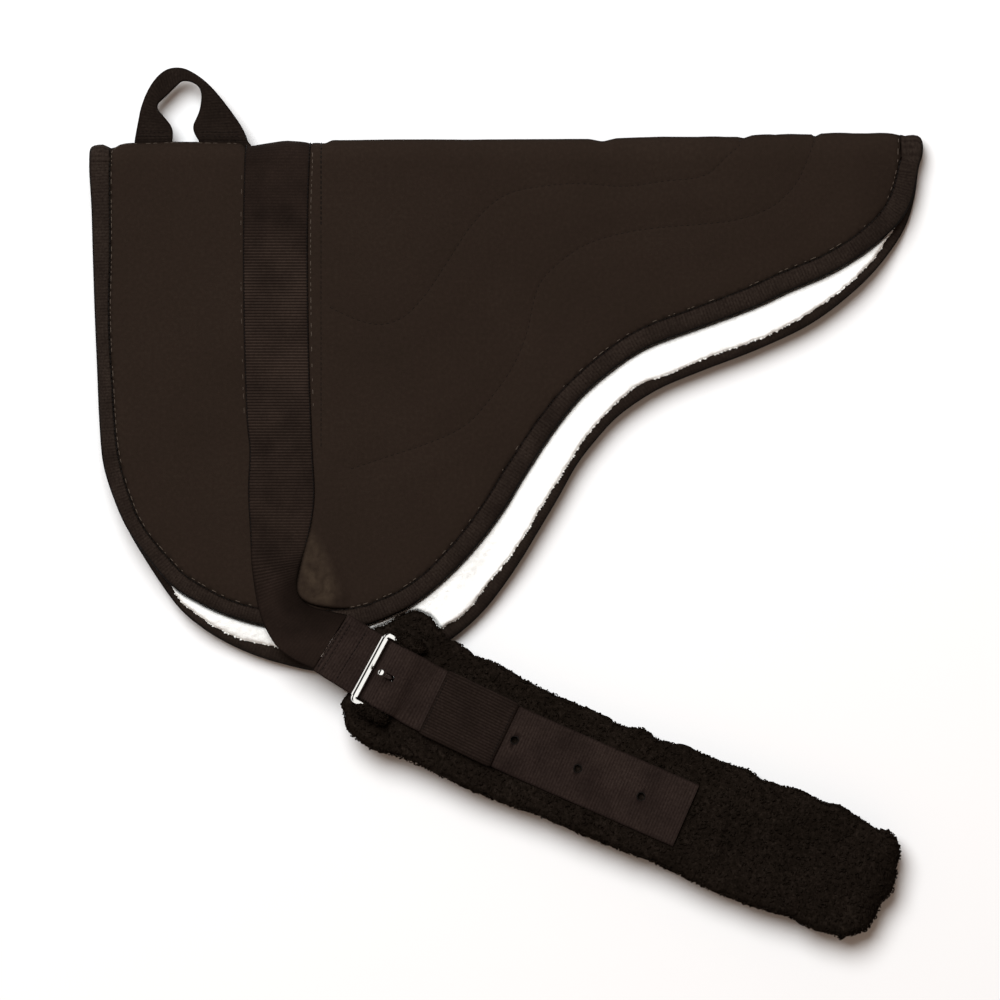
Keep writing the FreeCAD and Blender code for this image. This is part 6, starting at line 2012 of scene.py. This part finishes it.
# the pile stands up on both sides of the strap and hides the arms of the frame
for side_, sd in ((1.0, 81), (-1.0, 82)):
    k_, w_ = 30, 22
    uu_ = np.linspace(3.6, 31.0, k_)
    rings = []
    for i, ui in enumerate(uu_):
        e_ = math.sqrt(max(0.02, 1 - abs(2 * i / (k_ - 1) - 1) ** 3))
        b_ = np.arange(w_) / w_ * 2 * math.pi
        vv_ = side_ * 29.6 + 5.4 * e_ * np.cos(b_)
        zz_ = 34.2 + 7.6 * e_ * np.sin(b_)
        ring_ = bv(np.full(w_, ui), vv_, 0.0)
        ring_[:, 2] = np.maximum(zz_, 29.0)
        rings.append(ring_)
    rings = np.array(rings)
    fl_ = rings.reshape(-1, 3)
    cc_ = np.repeat(rings.mean(1), w_, axis=0)
    dd_ = fl_ - cc_
    dd_ /= np.maximum(np.linalg.norm(dd_, axis=1, keepdims=True), 1e-6)
    fl_ = fl_ + dd_ * (curly(fl_, sd) * 0.8)[:, None]
    v, f = tube(fl_.reshape(rings.shape), True, side_ > 0)
    finish_piece(mesh_piece("pile_beside_buckle_%s" % ("upper" if side_ > 0 else "lower"), v, f, [BLACK]),
                 "near_girth")
    pick = np.random.RandomState(sd).rand(len(fl_)) < 0.5
    pick &= dd_[:, 2] > -0.2
    cb_ = curls_over("curls_beside_buckle_%s" % ("upper" if side_ > 0 else "lower"), fl_[pick], dd_[pick], "near_girth", sd + 4)
    finish_piece(cb_, "near_girth")

# domed end of the tongue
tip = np.array((-93.2, -127.8, 53.2))
a_ = np.linspace(0, math.pi / 2, 9)
rings = [np.c_[tip[0] + 2.3 * math.cos(x_) * np.cos(np.arange(28) / 28 * 2 * math.pi),
               tip[1] + 2.3 * math.cos(x_) * np.sin(np.arange(28) / 28 * 2 * math.pi),
               np.full(28, tip[2] + 1.5 * math.sin(x_))] for x_ in np.r_[-0.7, -0.35, a_[:-1]]]
v, f = tube(np.array(rings), True, True)
finish_piece(mesh_piece("near_tongue_tip", v, f, [CHROME]), "near_buckle_tongue")


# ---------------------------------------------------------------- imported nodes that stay
def repaint(name, mat, angle=None):
    ob = NODES[name]
    for s_ in ob.material_slots:
        s_.material = mat
    if not ob.material_slots:
        ob.data.materials.append(mat)
    if angle:
        for p_ in ob.data.polygons:
            p_.use_smooth = True
        m = ob.modifiers.new("edges", "EDGE_SPLIT")
        m.split_angle = math.radians(angle)


for nm in ("near_buckle_frame", "near_roller", "near_tongue", "far_buckle_frame", "far_roller", "far_tongue"):
    repaint(nm, CHROME, 40)
for nm in ("girth_near_core", "girth_far_core"):
    repaint(nm, WEB)


# ---------------------------------------------------------------- stage, light and camera
me = bpy.data.meshes.new("floor")
me.from_pydata([(-5, -5, -0.0004), (5, -5, -0.0004), (5, 5, -0.0004), (-5, 5, -0.0004)], [], [(0, 1, 2, 3)])
floor = bpy.data.objects.new("floor", me)
bpy.context.scene.collection.objects.link(floor)
fm = Nodes("floor_white", rough=0.95, spec=0.0)
fm.b.inputs["Base Color"].default_value = (0.80, 0.795, 0.785, 1)
me.materials.append(fm.mat)

scene = bpy.context.scene
scene.view_settings.view_transform = "Standard"
scene.view_settings.look = "None"
scene.view_settings.exposure = 0.0
scene.view_settings.gamma = 1.0

world = bpy.data.worlds.new("studio")
scene.world = world
world.use_nodes = True
wt = world.node_tree
wt.nodes.clear()
wo = wt.nodes.new("ShaderNodeOutputWorld")
bg = wt.nodes.new("ShaderNodeBackground")
bg.inputs["Color"].default_value = (1.0, 0.75, 0.60, 1)
bg.inputs["Strength"].default_value = 0.275
# what shiny metal sees: bright on the side the straps lead to, dark on the other
tc = wt.nodes.new("ShaderNodeTexCoord")
dp = wt.nodes.new("ShaderNodeVectorMath")
dp.operation = "DOT_PRODUCT"
dp.inputs[1].default_value = (0.88, -0.47, 0.0)
wt.links.new(tc.outputs["Generated"], dp.inputs[0])
cr_ = wt.nodes.new("ShaderNodeValToRGB")
els = cr_.color_ramp.elements
els.new(0.5)
els.new(0.6)
for e_, (p_, c_) in zip(els, ((0.065, (1.0, 0.99, 0.97, 1)), (0.10, (0.015, 0.014, 0.013, 1)),
                              (0.39, (0.015, 0.014, 0.013, 1)), (0.44, (1.0, 0.99, 0.97, 1)))):
    e_.position, e_.color = p_, c_
mr_ = wt.nodes.new("ShaderNodeMath")
mr_.operation = "MULTIPLY_ADD"
mr_.inputs[1].default_value = 0.5
mr_.inputs[2].default_value = 0.5
wt.links.new(dp.outputs["Value"], mr_.inputs[0])
wt.links.new(mr_.outputs[0], cr_.inputs[0])
bg2 = wt.nodes.new("ShaderNodeBackground")
wt.links.new(cr_.outputs[0], bg2.inputs["Color"])
bg2.inputs["Strength"].default_value = 1.15
lp = wt.nodes.new("ShaderNodeLightPath")
mx_ = wt.nodes.new("ShaderNodeMixShader")
wt.links.new(lp.outputs["Is Glossy Ray"], mx_.inputs[0])
wt.links.new(bg.outputs[0], mx_.inputs[1])
wt.links.new(bg2.outputs[0], mx_.inputs[2])
wt.links.new(mx_.outputs[0], wo.inputs["Surface"])


def area(name, loc, target, size, power, colour=(1, 1, 1)):
    d = bpy.data.lights.new(name, "AREA")
    d.shape = "DISK"
    d.size = size
    d.energy = power
    d.color = colour
    o = bpy.data.objects.new(name, d)
    o.location = loc
    o.rotation_euler = (Vector(target) - Vector(loc)).to_track_quat("-Z", "Y").to_euler()
    scene.collection.objects.link(o)
    return o


KEY = Vector((-1.2, 2.25, 4.5))
key = area("key", KEY, (0, 0, 0), 3.5, 382.0, (0.965, 1.0, 1.035))
key.visible_glossy = False

cam = bpy.data.cameras.new("camera")
co = bpy.data.objects.new("camera", cam)
scene.collection.objects.link(co)
HEIGHT = 6.0
cam.sensor_width = 36.0
cam.lens = 36.0 * (HEIGHT - 0.017) / 0.750
cam.clip_end = 50.0
co.location = (-0.0045, 0.0006, HEIGHT)
co.rotation_euler = (0, 0, 0)
scene.camera = co
